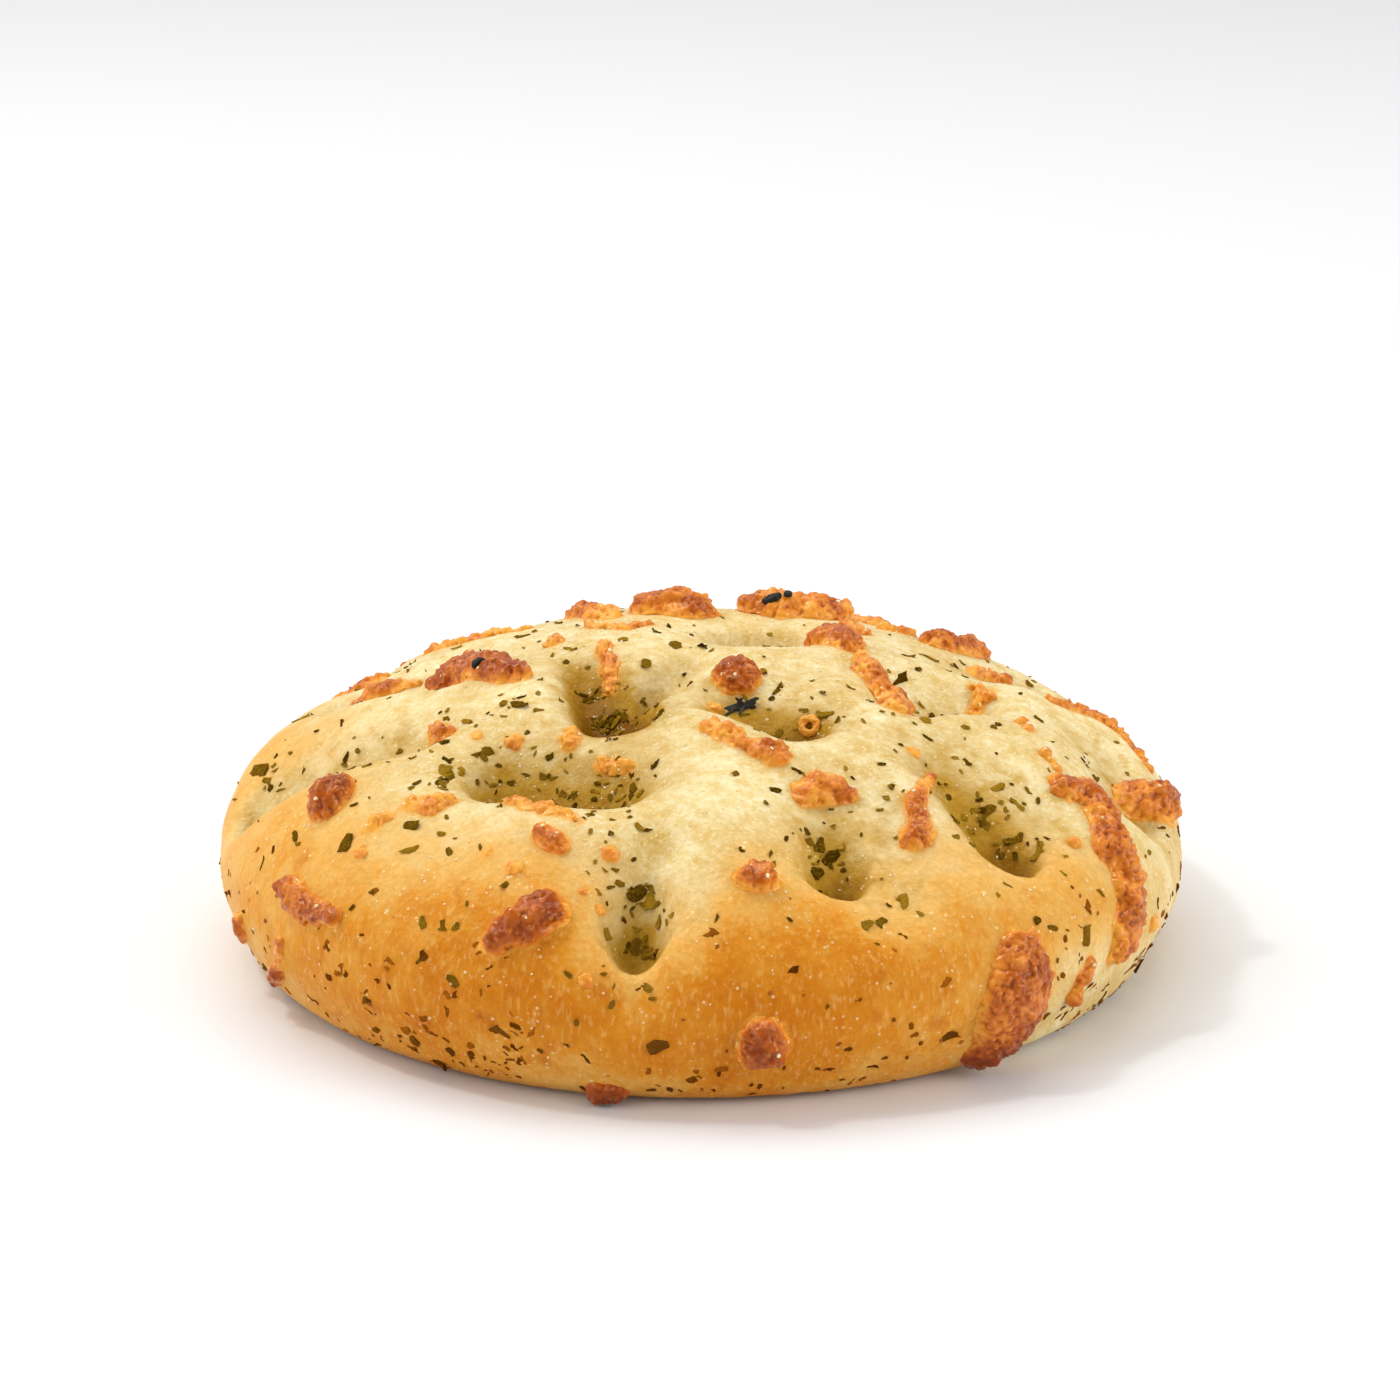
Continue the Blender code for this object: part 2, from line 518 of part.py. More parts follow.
def build():
    clear_scene()
    parts = make_collection("flatbread")
    cutters = make_collection("cutters")
    toppings = make_collection("toppings_to_fuse")
    crust = make_material("crust")
    browned = make_material("browned_cheese")

    bread = shape_dough("bread", parts)
    tree = crust_tree(bread)

    crust_cutter = bread.copy()
    crust_cutter.data = bread.data.copy()
    crust_cutter.name = "crust_cutter"
    cutters.objects.link(crust_cutter)
    grow = crust_cutter.modifiers.new("grow", "DISPLACE")
    grow.mid_level = 0.0
    grow.strength = TOUCH_GAP
    crust_cutter.hide_render = True
    crust_cutter.display_type = "WIRE"

    cheese_room = []
    for name, (height, spine) in CHEESE.items():
        piece = cheese_piece(name, height, spine, tree, crust_cutter, parts)
        finish_surface(piece, browned)
        for point, _, half_width in spine_blobs(tree, spine):
            cheese_room.append((point, half_width * (1 + BLOB_JITTER) + CLEARANCE))

    fused_toppings(tree, cheese_room, toppings)
    fuse(bread, toppings)
    keep_largest_body(bread)
    finish_surface(bread, crust)


build()
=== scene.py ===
# %% [markdown]
# # A round cheese and herb flatbread
# The real thing is a thick round of soft dough. Fingers pressed deep pits into it, oil ran into the
# pits and took dried herbs with it, and torn cheese on top melted, puffed and browned in the oven.
# The solid model of it is already fixed: the dough with its toppings is one solid, and each larger
# piece of cheese is another. This script dresses that frame. It makes a fine mesh for each of them
# and a material from nodes, and never changes the frame's own sizes.
# %% Load the fixed frame
import math
import random

import bmesh
import bpy
import numpy as np
from mathutils import Matrix, Vector, noise
from mathutils.bvhtree import BVHTree


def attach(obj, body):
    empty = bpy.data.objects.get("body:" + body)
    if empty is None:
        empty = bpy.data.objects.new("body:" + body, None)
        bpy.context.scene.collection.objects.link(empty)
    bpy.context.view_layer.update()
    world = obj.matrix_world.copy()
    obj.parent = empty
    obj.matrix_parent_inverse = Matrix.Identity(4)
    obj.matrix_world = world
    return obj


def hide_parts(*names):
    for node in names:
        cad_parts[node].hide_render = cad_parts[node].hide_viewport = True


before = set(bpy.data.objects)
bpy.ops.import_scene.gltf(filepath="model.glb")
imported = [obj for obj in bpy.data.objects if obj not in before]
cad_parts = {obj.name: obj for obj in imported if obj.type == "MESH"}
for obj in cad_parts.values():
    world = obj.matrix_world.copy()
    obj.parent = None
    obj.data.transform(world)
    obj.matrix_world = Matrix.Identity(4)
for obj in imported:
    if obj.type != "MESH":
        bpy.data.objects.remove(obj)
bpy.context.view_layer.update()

# %% [markdown]
# ## Working habits
# Every operator acts on whatever is selected, so each step first selects one object and nothing
# else. A modifier is added, set and applied at once, as it would be by hand with Ctrl-A.
# %% Small helpers for selecting and for modifiers
MM = 0.001


def only(obj):
    """Selects this object alone and makes it the active one."""
    bpy.ops.object.select_all(action="DESELECT")
    obj.select_set(True)
    bpy.context.view_layer.objects.active = obj


def shape_with(obj, kind, **settings):
    """Adds one modifier, sets it and applies it."""
    modifier = obj.modifiers.new(kind.title(), kind)
    for key, value in settings.items():
        setattr(modifier, key, value)
    only(obj)
    bpy.ops.object.modifier_apply(modifier=modifier.name)


def select_where(rule):
    """In edit mode, selects the points that the rule says yes to."""
    builder = bmesh.from_edit_mesh(bpy.context.object.data)
    for vertex in builder.verts:
        vertex.select_set(rule(vertex.co))
    builder.select_flush_mode()
    bmesh.update_edit_mesh(bpy.context.object.data)


def shade_smoothly(obj):
    only(obj)
    bpy.ops.object.shade_smooth()


def triangles(obj):
    return sum(len(polygon.vertices) - 2 for polygon in obj.data.polygons)


def points_of(obj):
    """All the points of a mesh as rows of x, y and z."""
    flat = np.empty(len(obj.data.vertices) * 3, np.float32)
    obj.data.vertices.foreach_get("co", flat)
    return flat.reshape(-1, 3).astype(float)


print("helpers ready, one unit is", 1 / MM, "mm")

# %% [markdown]
# ## The dough before the fingers
# A ball of dough settles into a low dome with a belly that tucks in to a flat base. It could be
# turned from a profile, but a sphere gets there with fewer decisions: its upper half is flattened
# to the dome, its lower half to the belly, and the part below the table is cut off and closed.
# %% Flatten a sphere into the round of dough
RADIUS = 75.0 * MM
HEIGHT = 46.0 * MM
WIDEST_AT = 15.0 * MM
UNDERSIDE_DEPTH = 35.0 * MM
BASE_ROUNDING = 5.0 * MM
HEART = Vector((0.0, 0.0, WIDEST_AT))
ROUND_VOXEL = 1.0 * MM
HAIR = 0.001 * MM  # keeps the widest ring out of both halves

bpy.ops.object.select_all(action="DESELECT")
bpy.ops.mesh.primitive_uv_sphere_add(segments=160, ring_count=80, radius=RADIUS, location=HEART)
dough = bpy.context.object
dough.name = "dough"
bpy.ops.object.transform_apply(location=True, rotation=False, scale=False)
bpy.ops.object.mode_set(mode="EDIT")
select_where(lambda place: place.z > WIDEST_AT + HAIR)
bpy.ops.transform.resize(value=(1, 1, (HEIGHT - WIDEST_AT) / RADIUS), center_override=HEART)
select_where(lambda place: place.z < WIDEST_AT - HAIR)
bpy.ops.transform.resize(value=(1, 1, UNDERSIDE_DEPTH / RADIUS), center_override=HEART)
bpy.ops.mesh.select_all(action="SELECT")
bpy.ops.mesh.bisect(plane_co=(0, 0, 0), plane_no=(0, 0, 1), use_fill=True, clear_inner=True)
bpy.ops.mesh.bevel(offset=BASE_ROUNDING, segments=6, profile=0.5, affect="EDGES")
bpy.ops.object.mode_set(mode="OBJECT")
shape_with(dough, "REMESH", mode="VOXEL", voxel_size=ROUND_VOXEL)
print("round of dough:", len(dough.data.vertices), "points, size", dough.dimensions)

# %% [markdown]
# ## The finger pits
# A finger goes straight down, and the dough around it sinks a little too. By hand this is weight
# paint and a Displace modifier: paint where and how deep, then push the painted part down. The
# paint here comes from a rule. Each pit is a stroke from a deep end to a shallow end, with a steep
# core and a wide soft shoulder, and where pits meet the deepest wins.
# %% Where the fingers went, and how deep
# deep end (angle, reach in mm), shallow end, half widths, depths, and how much steeper the outside is
PITS = {
    "front_notch": ((-8, 65), (-7, 57), (7.5, 6), (12, 4), 0.1),
    "front_notch_lip": ((-8, 75), (-8, 70), (9, 8), (6, 5), 0.0),
    "front_right": ((20, 59), (22, 49), (7.5, 8), (10, 4), 0.3),
    "front_right_slope": ((25, 64), (31, 50), (13, 12), (4, 3), 0.2),
    "right_shoulder": ((48, 62), (51, 48), (8, 8), (10, 5), 0.3),
    "right_shoulder_slope": ((55, 58), (60, 44), (14, 13), (4, 3), 0.2),
    "front_left_bowl": ((-41, 45), (-20, 42), (9, 9), (11, 11), 0.4),
    "front_left_slope": ((-42, 36), (-24, 32), (12, 12), (3, 3), 0.2),
    "inner_left": ((-38, 22.5), (-88, 18.5), (8, 7), (13, 5), 0.3),
    "inner_middle": ((-43, 11.5), (-80, 2), (6.5, 8), (9, 4), 0.3),
    "inner_right": ((16, 18), (34, 27), (8, 8), (5, 9), 0.4),
    "inner_right_slope": ((36, 18), (58, 15), (8, 9), (4, 2), 0.2),
    "crown_back": ((163, 21), (145, 25), (7.5, 8), (8, 7), 0.3),
    "right_saddle": ((78, 35), (89, 43), (8, 8), (7, 7), 0.4),
    "right_edge": ((78, 69), (88, 63), (7, 7), (6, 4), 0.3),
    "left_fold": ((-84, 69), (-74, 49), (9, 9), (9, 8), 0.4),
    "left_back_fold": ((-107, 58), (-103, 42), (9, 8), (7, 5), 0.4),
    "right_back": ((116, 60), (110, 46), (9, 9), (6, 3), 0.3),
    "rear_right": ((140, 68), (141, 58), (10, 9), (9, 4), 0.3),
    "rear_middle": ((172, 68), (170, 58), (10, 9), (10, 4), 0.3),
    "rear_left": ((-150, 68), (-149, 58), (10, 9), (10, 4), 0.3),
    "rear_far_left": ((-122, 71), (-121, 63), (8, 8), (6, 4), 0.3),
}
DEEPEST = 13.0 * MM
SKIRT_REACH, SKIRT_SHARE, PIT_BLEND = 2.3, 0.35, 3.0
print("pits:", len(PITS))


# %% How deep the dough is pressed at a place
def smoothstep(value):
    """0 below 0, 1 above 1 and a soft S between them."""
    value = np.clip(value, 0.0, 1.0)
    return value * value * (3.0 - 2.0 * value)


def on_plan(angle, reach):
    """x and y of a point seen from above, at that angle from the front and reach in mm."""
    turn = math.radians(angle)
    return np.array((math.sin(turn), -math.cos(turn))) * reach * MM


def finger_depth(plan, shares=None):
    """How far the fingers pressed the dough down at each row of x and y, or a share of it by pit."""
    plan = np.atleast_2d(plan)
    outwards = plan / np.maximum(np.linalg.norm(plan, axis=1, keepdims=True), 1e-9)
    total = np.zeros(len(plan))
    for name, (deep, shallow, widths, depths, lean) in PITS.items():
        start = on_plan(*deep)
        stroke = on_plan(*shallow) - start
        along = np.clip((plan - start) @ stroke / (stroke @ stroke), 0.0, 1.0)
        offset = plan - start - along[:, None] * stroke
        distance = np.linalg.norm(offset, axis=1)
        outward = np.sum(offset * outwards, axis=1) / np.maximum(distance, 1e-9)
        distance = distance / (1.0 - lean * outward)
        width = (widths[0] + (widths[1] - widths[0]) * along) * MM
        depth = (depths[0] + (depths[1] - depths[0]) * along) * MM * (shares or {}).get(name, 1.0)
        skirt = smoothstep(1.0 - distance / (width * SKIRT_REACH))
        core = smoothstep(1.0 - distance / width)
        total += (depth * (SKIRT_SHARE * skirt + (1.0 - SKIRT_SHARE) * core)) ** PIT_BLEND
    return total ** (1.0 / PIT_BLEND)


notch_depth = finger_depth(on_plan(*PITS["front_notch"][0]))[0]
print("depth of the front notch:", round(float(notch_depth) / MM, 1), "mm")


# %% Paint the pits as weights and push them down
def paint(obj, name, weights):
    """A vertex group, as from weight painting."""
    group = obj.vertex_groups.new(name=name)
    for index, weight in enumerate(weights):
        if weight > 0:
            group.add([index], float(weight), "REPLACE")


def push(obj, group, distance, direction="NORMAL"):
    """Moves the painted part by that distance where the paint is full, then clears the paint."""
    shape_with(obj, "DISPLACE", vertex_group=group, strength=distance, mid_level=0.0, direction=direction)
    obj.vertex_groups.remove(obj.vertex_groups[group])


RISE_UNEVENNESS, RISE_WAVELENGTH = 0.8 * MM, 34.0 * MM
FLANK_LOW, FLANK_HIGH = 6.0 * MM, 20.0 * MM

places = points_of(dough)
off_base = smoothstep(places[:, 2] / FLANK_LOW)
swell = np.array([noise.noise(Vector(place) / RISE_WAVELENGTH) for place in places]) * off_base
held = smoothstep((places[:, 2] - FLANK_LOW) / (FLANK_HIGH - FLANK_LOW))
paint(dough, "swells", np.maximum(swell, 0))
paint(dough, "sags", np.maximum(-swell, 0))
paint(dough, "fingers", held * finger_depth(places[:, :2]) / DEEPEST)
push(dough, "swells", RISE_UNEVENNESS)
push(dough, "sags", -RISE_UNEVENNESS)
push(dough, "fingers", -DEEPEST, direction="Z")
print("pits pressed into", int((held > 0).sum()), "points")

# %% [markdown]
# ## A skin on the dough
# Pushing stretched the mesh on the pit walls, so a second Remesh evens it out and Smooth takes the
# steps away. Baked skin isn't even either: it has soft lumps a few millimetres across. They are
# real relief from two cloud textures, weak enough to leave the form alone, and held off the base.
# %% Even out, soften and roughen
DOUGH_VOXEL = 0.8 * MM
SKIN_LUMPS = ((8.0 * MM, 0.55 * MM), (2.6 * MM, 0.09 * MM))  # size and height
BASE_BAND = 0.4 * MM  # what ends lower than this is pressed flat

shape_with(dough, "REMESH", mode="VOXEL", voxel_size=DOUGH_VOXEL)
shape_with(dough, "SMOOTH", iterations=8)


def roughen(obj, size, height, middle=0.5, kind="SOFT_NOISE", depth=2, group=""):
    """Random relief of about that size and height. What is under the middle goes inwards."""
    clouds = bpy.data.textures.new("clouds", "CLOUDS")
    clouds.noise_scale, clouds.noise_type, clouds.noise_depth = size, kind, depth
    shape_with(obj, "DISPLACE", texture=clouds, strength=height, mid_level=middle, vertex_group=group)


def press_flat(obj, below):
    """Lays every point that is lower than that on the table."""
    only(obj)
    bpy.ops.object.mode_set(mode="EDIT")
    select_where(lambda place: place.z < below)
    bpy.ops.transform.resize(value=(1, 1, 0), center_override=(0, 0, 0))
    bpy.ops.object.mode_set(mode="OBJECT")


paint(dough, "skin", smoothstep(points_of(dough)[:, 2] / FLANK_LOW))
for size, height in SKIN_LUMPS:
    roughen(dough, size, height, depth=1, group="skin")
press_flat(dough, BASE_BAND)
shade_smoothly(dough)
print("dough:", triangles(dough), "triangles")

# %% [markdown]
# ## Finding places on the crust
# Toppings are placed by the direction in which they are seen from the heart of the bread: an angle
# round it from the front and an elevation. A ray from outside towards the heart finds the crust
# there, and the crust's normal says which way is up for whatever lies on it.
# %% Rays onto the crust
crust = BVHTree.FromObject(dough, bpy.context.evaluated_depsgraph_get())


def heading(angle, elevation):
    """The direction at that angle round the bread from the front, and that many degrees up."""
    turn, lift = math.radians(angle), math.radians(elevation)
    level = math.cos(lift)
    return Vector((math.sin(turn) * level, -math.cos(turn) * level, math.sin(lift)))


def on_crust(angle, elevation):
    """The point of the crust in that direction and its normal."""
    way = heading(angle, elevation)
    point, normal, _, _ = crust.ray_cast(HEART + way * 2 * RADIUS, -way)
    return point, normal


def seat(point, normal, turn=0.0):
    """A place on the crust, with its Z along the normal and turned about it."""
    upright = normal.to_track_quat("Z", "Y").to_matrix().to_4x4()
    return Matrix.Translation(point) @ upright @ Matrix.Rotation(turn, 4, "Z")


def keep_number(obj, name, values):
    """Keeps one number a point under a name that a material can read."""
    layer = obj.data.attributes.new(name, "FLOAT", "POINT")
    layer.data.foreach_set("value", np.asarray(values, np.float32))


print("crown at", on_crust(0, 90)[0])

# %% [markdown]
# ## Many copies in one mesh
# Blisters, leaves, grains and specks all repeat a few shapes. Each shape is modelled once, and its
# copies go into one mesh at their own places, as an instancer would do before it is made real.
# Every copy keeps a tint, a number of its own that the material can read.
# %% Copy a shape to many places
def many(name, copies):
    """One object from rows of a shape, a 4 by 4 place and a tint."""
    points, faces, tints = [], [], []
    for shape, place, tint in copies:
        start = sum(len(block) for block in points)
        own = np.c_[points_of(shape), np.ones(len(shape.data.vertices))] @ np.array(place).T
        points.append(own[:, :3])
        faces += [[start + corner for corner in polygon.vertices] for polygon in shape.data.polygons]
        tints.append(np.full(len(own), tint))
    mesh = bpy.data.meshes.new(name)
    mesh.from_pydata(np.vstack(points).tolist(), [], faces)
    made = bpy.data.objects.new(name, mesh)
    bpy.context.scene.collection.objects.link(made)
    keep_number(made, "tint", np.concatenate(tints))
    return made


def join_as(name, parts):
    """Joins objects into one that sits at the origin."""
    bpy.ops.object.select_all(action="DESELECT")
    for part in parts:
        part.select_set(True)
    bpy.context.view_layer.objects.active = parts[0]
    bpy.ops.object.join()
    bpy.ops.object.transform_apply(location=True, rotation=True, scale=True)
    joined = bpy.context.object
    joined.name = name
    joined.data.name = name
    return joined


def add_ball(subdivisions, radius):
    """A ball of triangles at the origin, selected alone."""
    bpy.ops.object.select_all(action="DESELECT")
    bpy.ops.mesh.primitive_ico_sphere_add(subdivisions=subdivisions, radius=radius)
    return bpy.context.object


ball = add_ball(2, 1.0)
print("a blister starts from a ball of", triangles(ball), "triangles")

# %% [markdown]
# ## The browned cheese
# Each torn piece melted, frothed into small blisters and browned from the top down, while its edge
# stayed thin and orange on the dough. Sculpting would do, but the froth is a heap of little balls
# that grew into each other, and it can be built just so. Each fixed solid is copied and drawn in,
# its underside is pushed into the crust so that nothing hovers, balls of uneven size are packed
# all over its upper side, and one fine Remesh grows them together. A hard cloud texture then folds
# the skin between the blisters.
# %% How brown each piece is, from 0 for barely melted to 1 for dark, and more for a thin one
BROWNING = {
    "cheese_left_corner": 0.7, "cheese_left_rim": 1.0, "cheese_back_left": 0.3, "cheese_big_left": 0.85,
    "cheese_left_dot": 0.95, "cheese_left_flat": 0.35, "cheese_left_small": 0.45, "cheese_left_top": 0.65,
    "cheese_left_drop": 0.25, "cheese_high_drop": 0.3, "cheese_pit_rim": 0.4, "cheese_two_lobed": 0.65,
    "cheese_ridge_strand": 0.1, "cheese_left_strand": 0.8, "cheese_left_burnt": 2.2,
    "cheese_left_edge": 1.5, "cheese_front_strand": 1.0, "cheese_middle_small": 0.35,
    "cheese_base_lump": 1.0, "cheese_back_small": 0.45, "cheese_back_melted": 0.05,
    "cheese_back_lump": 0.65, "cheese_back_ridge": 0.45, "cheese_chain_top": 0.55,
    "cheese_chain_low": 0.3, "cheese_right_tail": 0.25, "cheese_right_ridge": 0.45,
    "cheese_right_lump": 0.75, "cheese_right_small": 0.7, "cheese_middle_dot": 0.85,
    "cheese_middle_strand": 0.5, "cheese_middle_flat": 0.4, "cheese_tall_strand": 0.6,
    "cheese_right_strand": 0.35, "cheese_right_bit": 0.35, "cheese_right_thin": 0.1,
    "cheese_right_edge": 1.1, "cheese_long_strand": 0.52, "cheese_right_dot": 0.62,
    "cheese_front_dot": 0.75, "cheese_low_dot": 0.95, "cheese_low_right": 0.9, "cheese_patch": 0.8,
}
BROWNING_UNSEEN = 0.65
CHEESE_VOXEL = 0.25 * MM
BLISTER_SMALL, BLISTER_LARGE = 0.36 * MM, 1.55 * MM
BLISTER_SUNK = (0.5, 0.95)  # how deep its centre lies in the piece, in radii
BLISTER_GAP = 0.74  # least distance between two centres, against their radii together
BLISTERS_FROM = 0.1 * MM  # above the crust
STEEPEST = -0.25  # blisters stop where the surface faces further down than this
FEW_LARGE = 1.8  # the higher it is, the fewer blisters are large
LEAST_FROTH, FROTH_BY_BROWNING = 0.55, 0.45
FROTH_PATCH, FROTH_IN_PATCH, FROTH_SPREAD = 2.8 * MM, 0.9, 1.2
FOLD_SIZE, FOLD_HEIGHT = 2.2 * MM, 0.55 * MM
CALM = -0.14  # froth is missing where a noise is below this
DRAWN_IN = 0.40 * MM
SINK = 1.1 * MM
UNDERSIDE_BAND = 1.6 * MM  # only what is nearer to the crust than this is pushed into it
UNDERSIDE_SLOPE = 3.0  # the push is full where the normal turns down by one third
FOLD_MIDDLE = 0.35
print("pieces with a known browning:", len(BROWNING))


# %% Pack balls over the upper side
def pack_balls(piece, browning, draw):
    """Centres and radii of balls that lie half in the piece and leave its underside alone."""
    froth = LEAST_FROTH + FROTH_BY_BROWNING * browning
    order = list(piece.data.vertices)
    draw.shuffle(order)
    centres, radii = np.empty((0, 3)), np.empty(0)
    for vertex in order:
        nearest, normal, _, _ = crust.find_nearest(vertex.co)
        if vertex.normal.dot(normal) < STEEPEST or (vertex.co - nearest).dot(normal) < BLISTERS_FROM:
            continue
        swollen = noise.noise(vertex.co / FROTH_PATCH)
        if swollen < CALM:
            continue
        share = froth * draw.random() ** FEW_LARGE * (FROTH_IN_PATCH + FROTH_SPREAD * swollen)
        radius = BLISTER_SMALL + (BLISTER_LARGE - BLISTER_SMALL) * share
        centre = np.array(vertex.co - vertex.normal * radius * draw.uniform(*BLISTER_SUNK))
        gap = np.linalg.norm(centres - centre, axis=1) - BLISTER_GAP * (radii + radius)
        if len(gap) and gap.min() < 0:
            continue
        centres = np.vstack([centres, centre])
        radii = np.append(radii, radius)
    return centres, radii


print("blisters of", BLISTER_SMALL / MM, "to", BLISTER_LARGE / MM, "mm")


# %% Measure what the colours of the cheese depend on
def relief_of(piece, rounds=8):
    """How far each point stands out of the evened surface round it, in mm."""
    points = points_of(piece)
    ends = np.empty(len(piece.data.edges) * 2, np.int32)
    piece.data.edges.foreach_get("vertices", ends)
    one, other = np.r_[ends[::2], ends[1::2]], np.r_[ends[1::2], ends[::2]]
    count = np.bincount(one, minlength=len(points))[:, None]
    even = points.copy()
    for _ in range(rounds):
        total = [np.bincount(one, even[other, axis], len(points)) for axis in range(3)]
        even = (even + np.stack(total, 1) / count) / 2
    normals = np.array([vertex.normal for vertex in piece.data.vertices])
    return np.sum((points - even) * normals, axis=1) / MM


def colour_numbers(piece, centres, browning, draw):
    """Keeps the height over the crust, the relief, a tint for each blister and the browning."""
    tints = np.array([draw.random() for _ in centres])
    rise, tint = [], []
    for vertex in piece.data.vertices:
        nearest, normal, _, _ = crust.find_nearest(vertex.co)
        rise.append((vertex.co - nearest).dot(normal) / MM)
        tint.append(tints[np.argmin(np.sum((centres - np.array(vertex.co)) ** 2, axis=1))])
    keep_number(piece, "rise", rise)
    keep_number(piece, "relief", relief_of(piece))
    keep_number(piece, "tint", tint)
    keep_number(piece, "browning", np.full(len(rise), browning))


print("a point of cheese keeps its rise, relief, tint and browning")


# %% Grow the blisters together
def froth_up(piece, browning, seed):
    """Grows blisters on a smooth piece that lies on the crust."""
    draw = random.Random(seed)
    centres, radii = pack_balls(piece, browning, draw)
    under = []
    for vertex in piece.data.vertices:
        nearest, normal, _, _ = crust.find_nearest(vertex.co)
        near = (vertex.co - nearest).dot(normal) < UNDERSIDE_BAND
        under.append(min(1.0, max(0.0, -vertex.normal.dot(normal) * UNDERSIDE_SLOPE)) if near else 0.0)
    paint(piece, "under", under)
    push(piece, "under", SINK)
    shape_with(piece, "DISPLACE", strength=-DRAWN_IN, mid_level=0.0)
    spots = [
        (ball, Matrix.Translation(centre) @ Matrix.Diagonal((radius, radius, radius, 1)), 0.0)
        for centre, radius in zip(centres, radii)
    ]
    piece = join_as(piece.name, [piece, many("blisters", spots)])
    shape_with(piece, "REMESH", mode="VOXEL", voxel_size=CHEESE_VOXEL)
    shape_with(piece, "SMOOTH", iterations=4)
    roughen(piece, FOLD_SIZE, FOLD_HEIGHT, middle=FOLD_MIDDLE, kind="HARD_NOISE", depth=1)
    colour_numbers(piece, centres, browning, draw)
    shade_smoothly(piece)
    return piece


print("the underside goes", SINK / MM, "mm into the crust")

# %% Copy each solid, make its mesh fine, and froth it up
FIRST_VOXEL, MELTED_SIZE, MELTED_HEIGHT = 0.4 * MM, 3.0 * MM, 1.0 * MM


def fine_copy(node, name):
    """A merged copy of a fixed solid, remeshed and softened."""
    piece = bpy.data.objects.new(name, node.data.copy())
    bpy.context.scene.collection.objects.link(piece)
    only(piece)
    bpy.ops.object.mode_set(mode="EDIT")
    bpy.ops.mesh.select_all(action="SELECT")
    bpy.ops.mesh.remove_doubles(threshold=0.01 * MM)
    bpy.ops.object.mode_set(mode="OBJECT")
    shape_with(piece, "REMESH", mode="VOXEL", voxel_size=FIRST_VOXEL)
    shape_with(piece, "SMOOTH", iterations=4)
    roughen(piece, MELTED_SIZE, MELTED_HEIGHT)
    return piece


cheese = {}
cheese_nodes = sorted(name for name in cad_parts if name.startswith("cheese_"))
for count, name in enumerate(cheese_nodes):
    piece = fine_copy(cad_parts[name], name.replace("cheese_", "melted_"))
    cheese[name] = froth_up(piece, BROWNING.get(name, BROWNING_UNSEEN), count)
print("cheese:", len(cheese), "pieces,", sum(triangles(piece) for piece in cheese.values()), "triangles")

# %% [markdown]
# ## Crumbs of cheese
# Between the large pieces lie crumbs smaller than a berry. In the fixed model they are fused to
# the dough. Here they are flattened balls in one mesh, blistered in the same way.
# %% Crumbs at their places
# angle, elevation and radius in mm
CRUMBS = (
    (-58, 32, 1.5), (-48.5, 12.3, 1.4), (-51, 34, 1.7), (-13, 18, 1.6), (-25, 15, 1.6), (-30, 16, 1.2),
    (-13, 11, 1.1), (-15, 13, 1.1), (-13, 4, 1.4), (9, 62, 1.3), (51, 30, 1.2), (57, 11, 1.4),
    (66, -1.5, 1.5), (-176, 24, 1.8), (165, 3, 2.0), (-143, -1, 1.6), (144, 7, 1.5), (-95, 37, 1.2),
)
CRUMB_WIDTH_SHARE, CRUMB_HEIGHT_SHARE = 0.95, 0.72  # what the blisters leave of the radius
CRUMB_BROWNING, CRUMB_SEED = 0.2, 7

crumbs = []
for angle, elevation, radius in CRUMBS:
    crumb = add_ball(3, radius * CRUMB_WIDTH_SHARE * MM)
    crumb.matrix_world = seat(*on_crust(angle, elevation)) @ Matrix.Diagonal((1, 1, CRUMB_HEIGHT_SHARE, 1))
    crumbs.append(crumb)
cheese_crumbs = froth_up(join_as("cheese_crumbs", crumbs), CRUMB_BROWNING, CRUMB_SEED)
print("crumbs:", len(CRUMBS), "in", triangles(cheese_crumbs), "triangles")

# %% [markdown]
# ## Where the dough is oiled and shaded in its pits, browned and smeared with cheese
# Three numbers are kept for every point of the dough. Oil stands where the fingers pressed, and the
# same number paints the deep pits darker for the shade that falls in them. The oven browned the front
# flank most, up to a height that changes round the bread. And cheese left a thin film around each
# piece, which also lifts the surface by a fraction of a millimetre.
# %% How brown the oven made each side
# angle round the bread, elevation at which browning starts, its full strength, the share of it that
# is missing at the very bottom, and elevation below which it fades
OVEN_SIDE = (
    (-180, 12, 0.8, 0.4, 1), (-120, 20, 0.55, 0.3, 1), (-95, 33, 0.55, 0.3, 1), (-75, 34, 0.62, 0.2, 1),
    (-55, 28, 0.8, 0.1, 1), (-40, 26, 0.98, 0.1, 1), (-30, 28, 1.1, 0.1, 1), (-22, 29, 1.1, 0.35, 3),
    (-16, 26, 1.15, 0.42, 4), (-8, 20, 1.2, 0.4, 3), (0, 22, 1.2, 0.3, 1), (5, 27, 1.2, 0.2, -2),
    (18, 28, 1.1, 0.27, 3), (28, 27, 0.95, 0.27, 3), (38, 27, 0.8, 0.3, 2), (45, 28, 0.8, 0.85, 9),
    (54, 27, 0.85, 0.9, 9), (62, 14, 0.7, 0.8, 6), (75, 9, 0.6, 0.6, 3), (110, 12, 0.75, 0.5, 1),
    (145, 14, 0.85, 0.4, 1), (180, 12, 0.8, 0.4, 1),
)
BROWNING_WIDTH = 26.0  # degrees from its start to its full strength
PALER_WIDTH = 13.0  # degrees over which it fades again


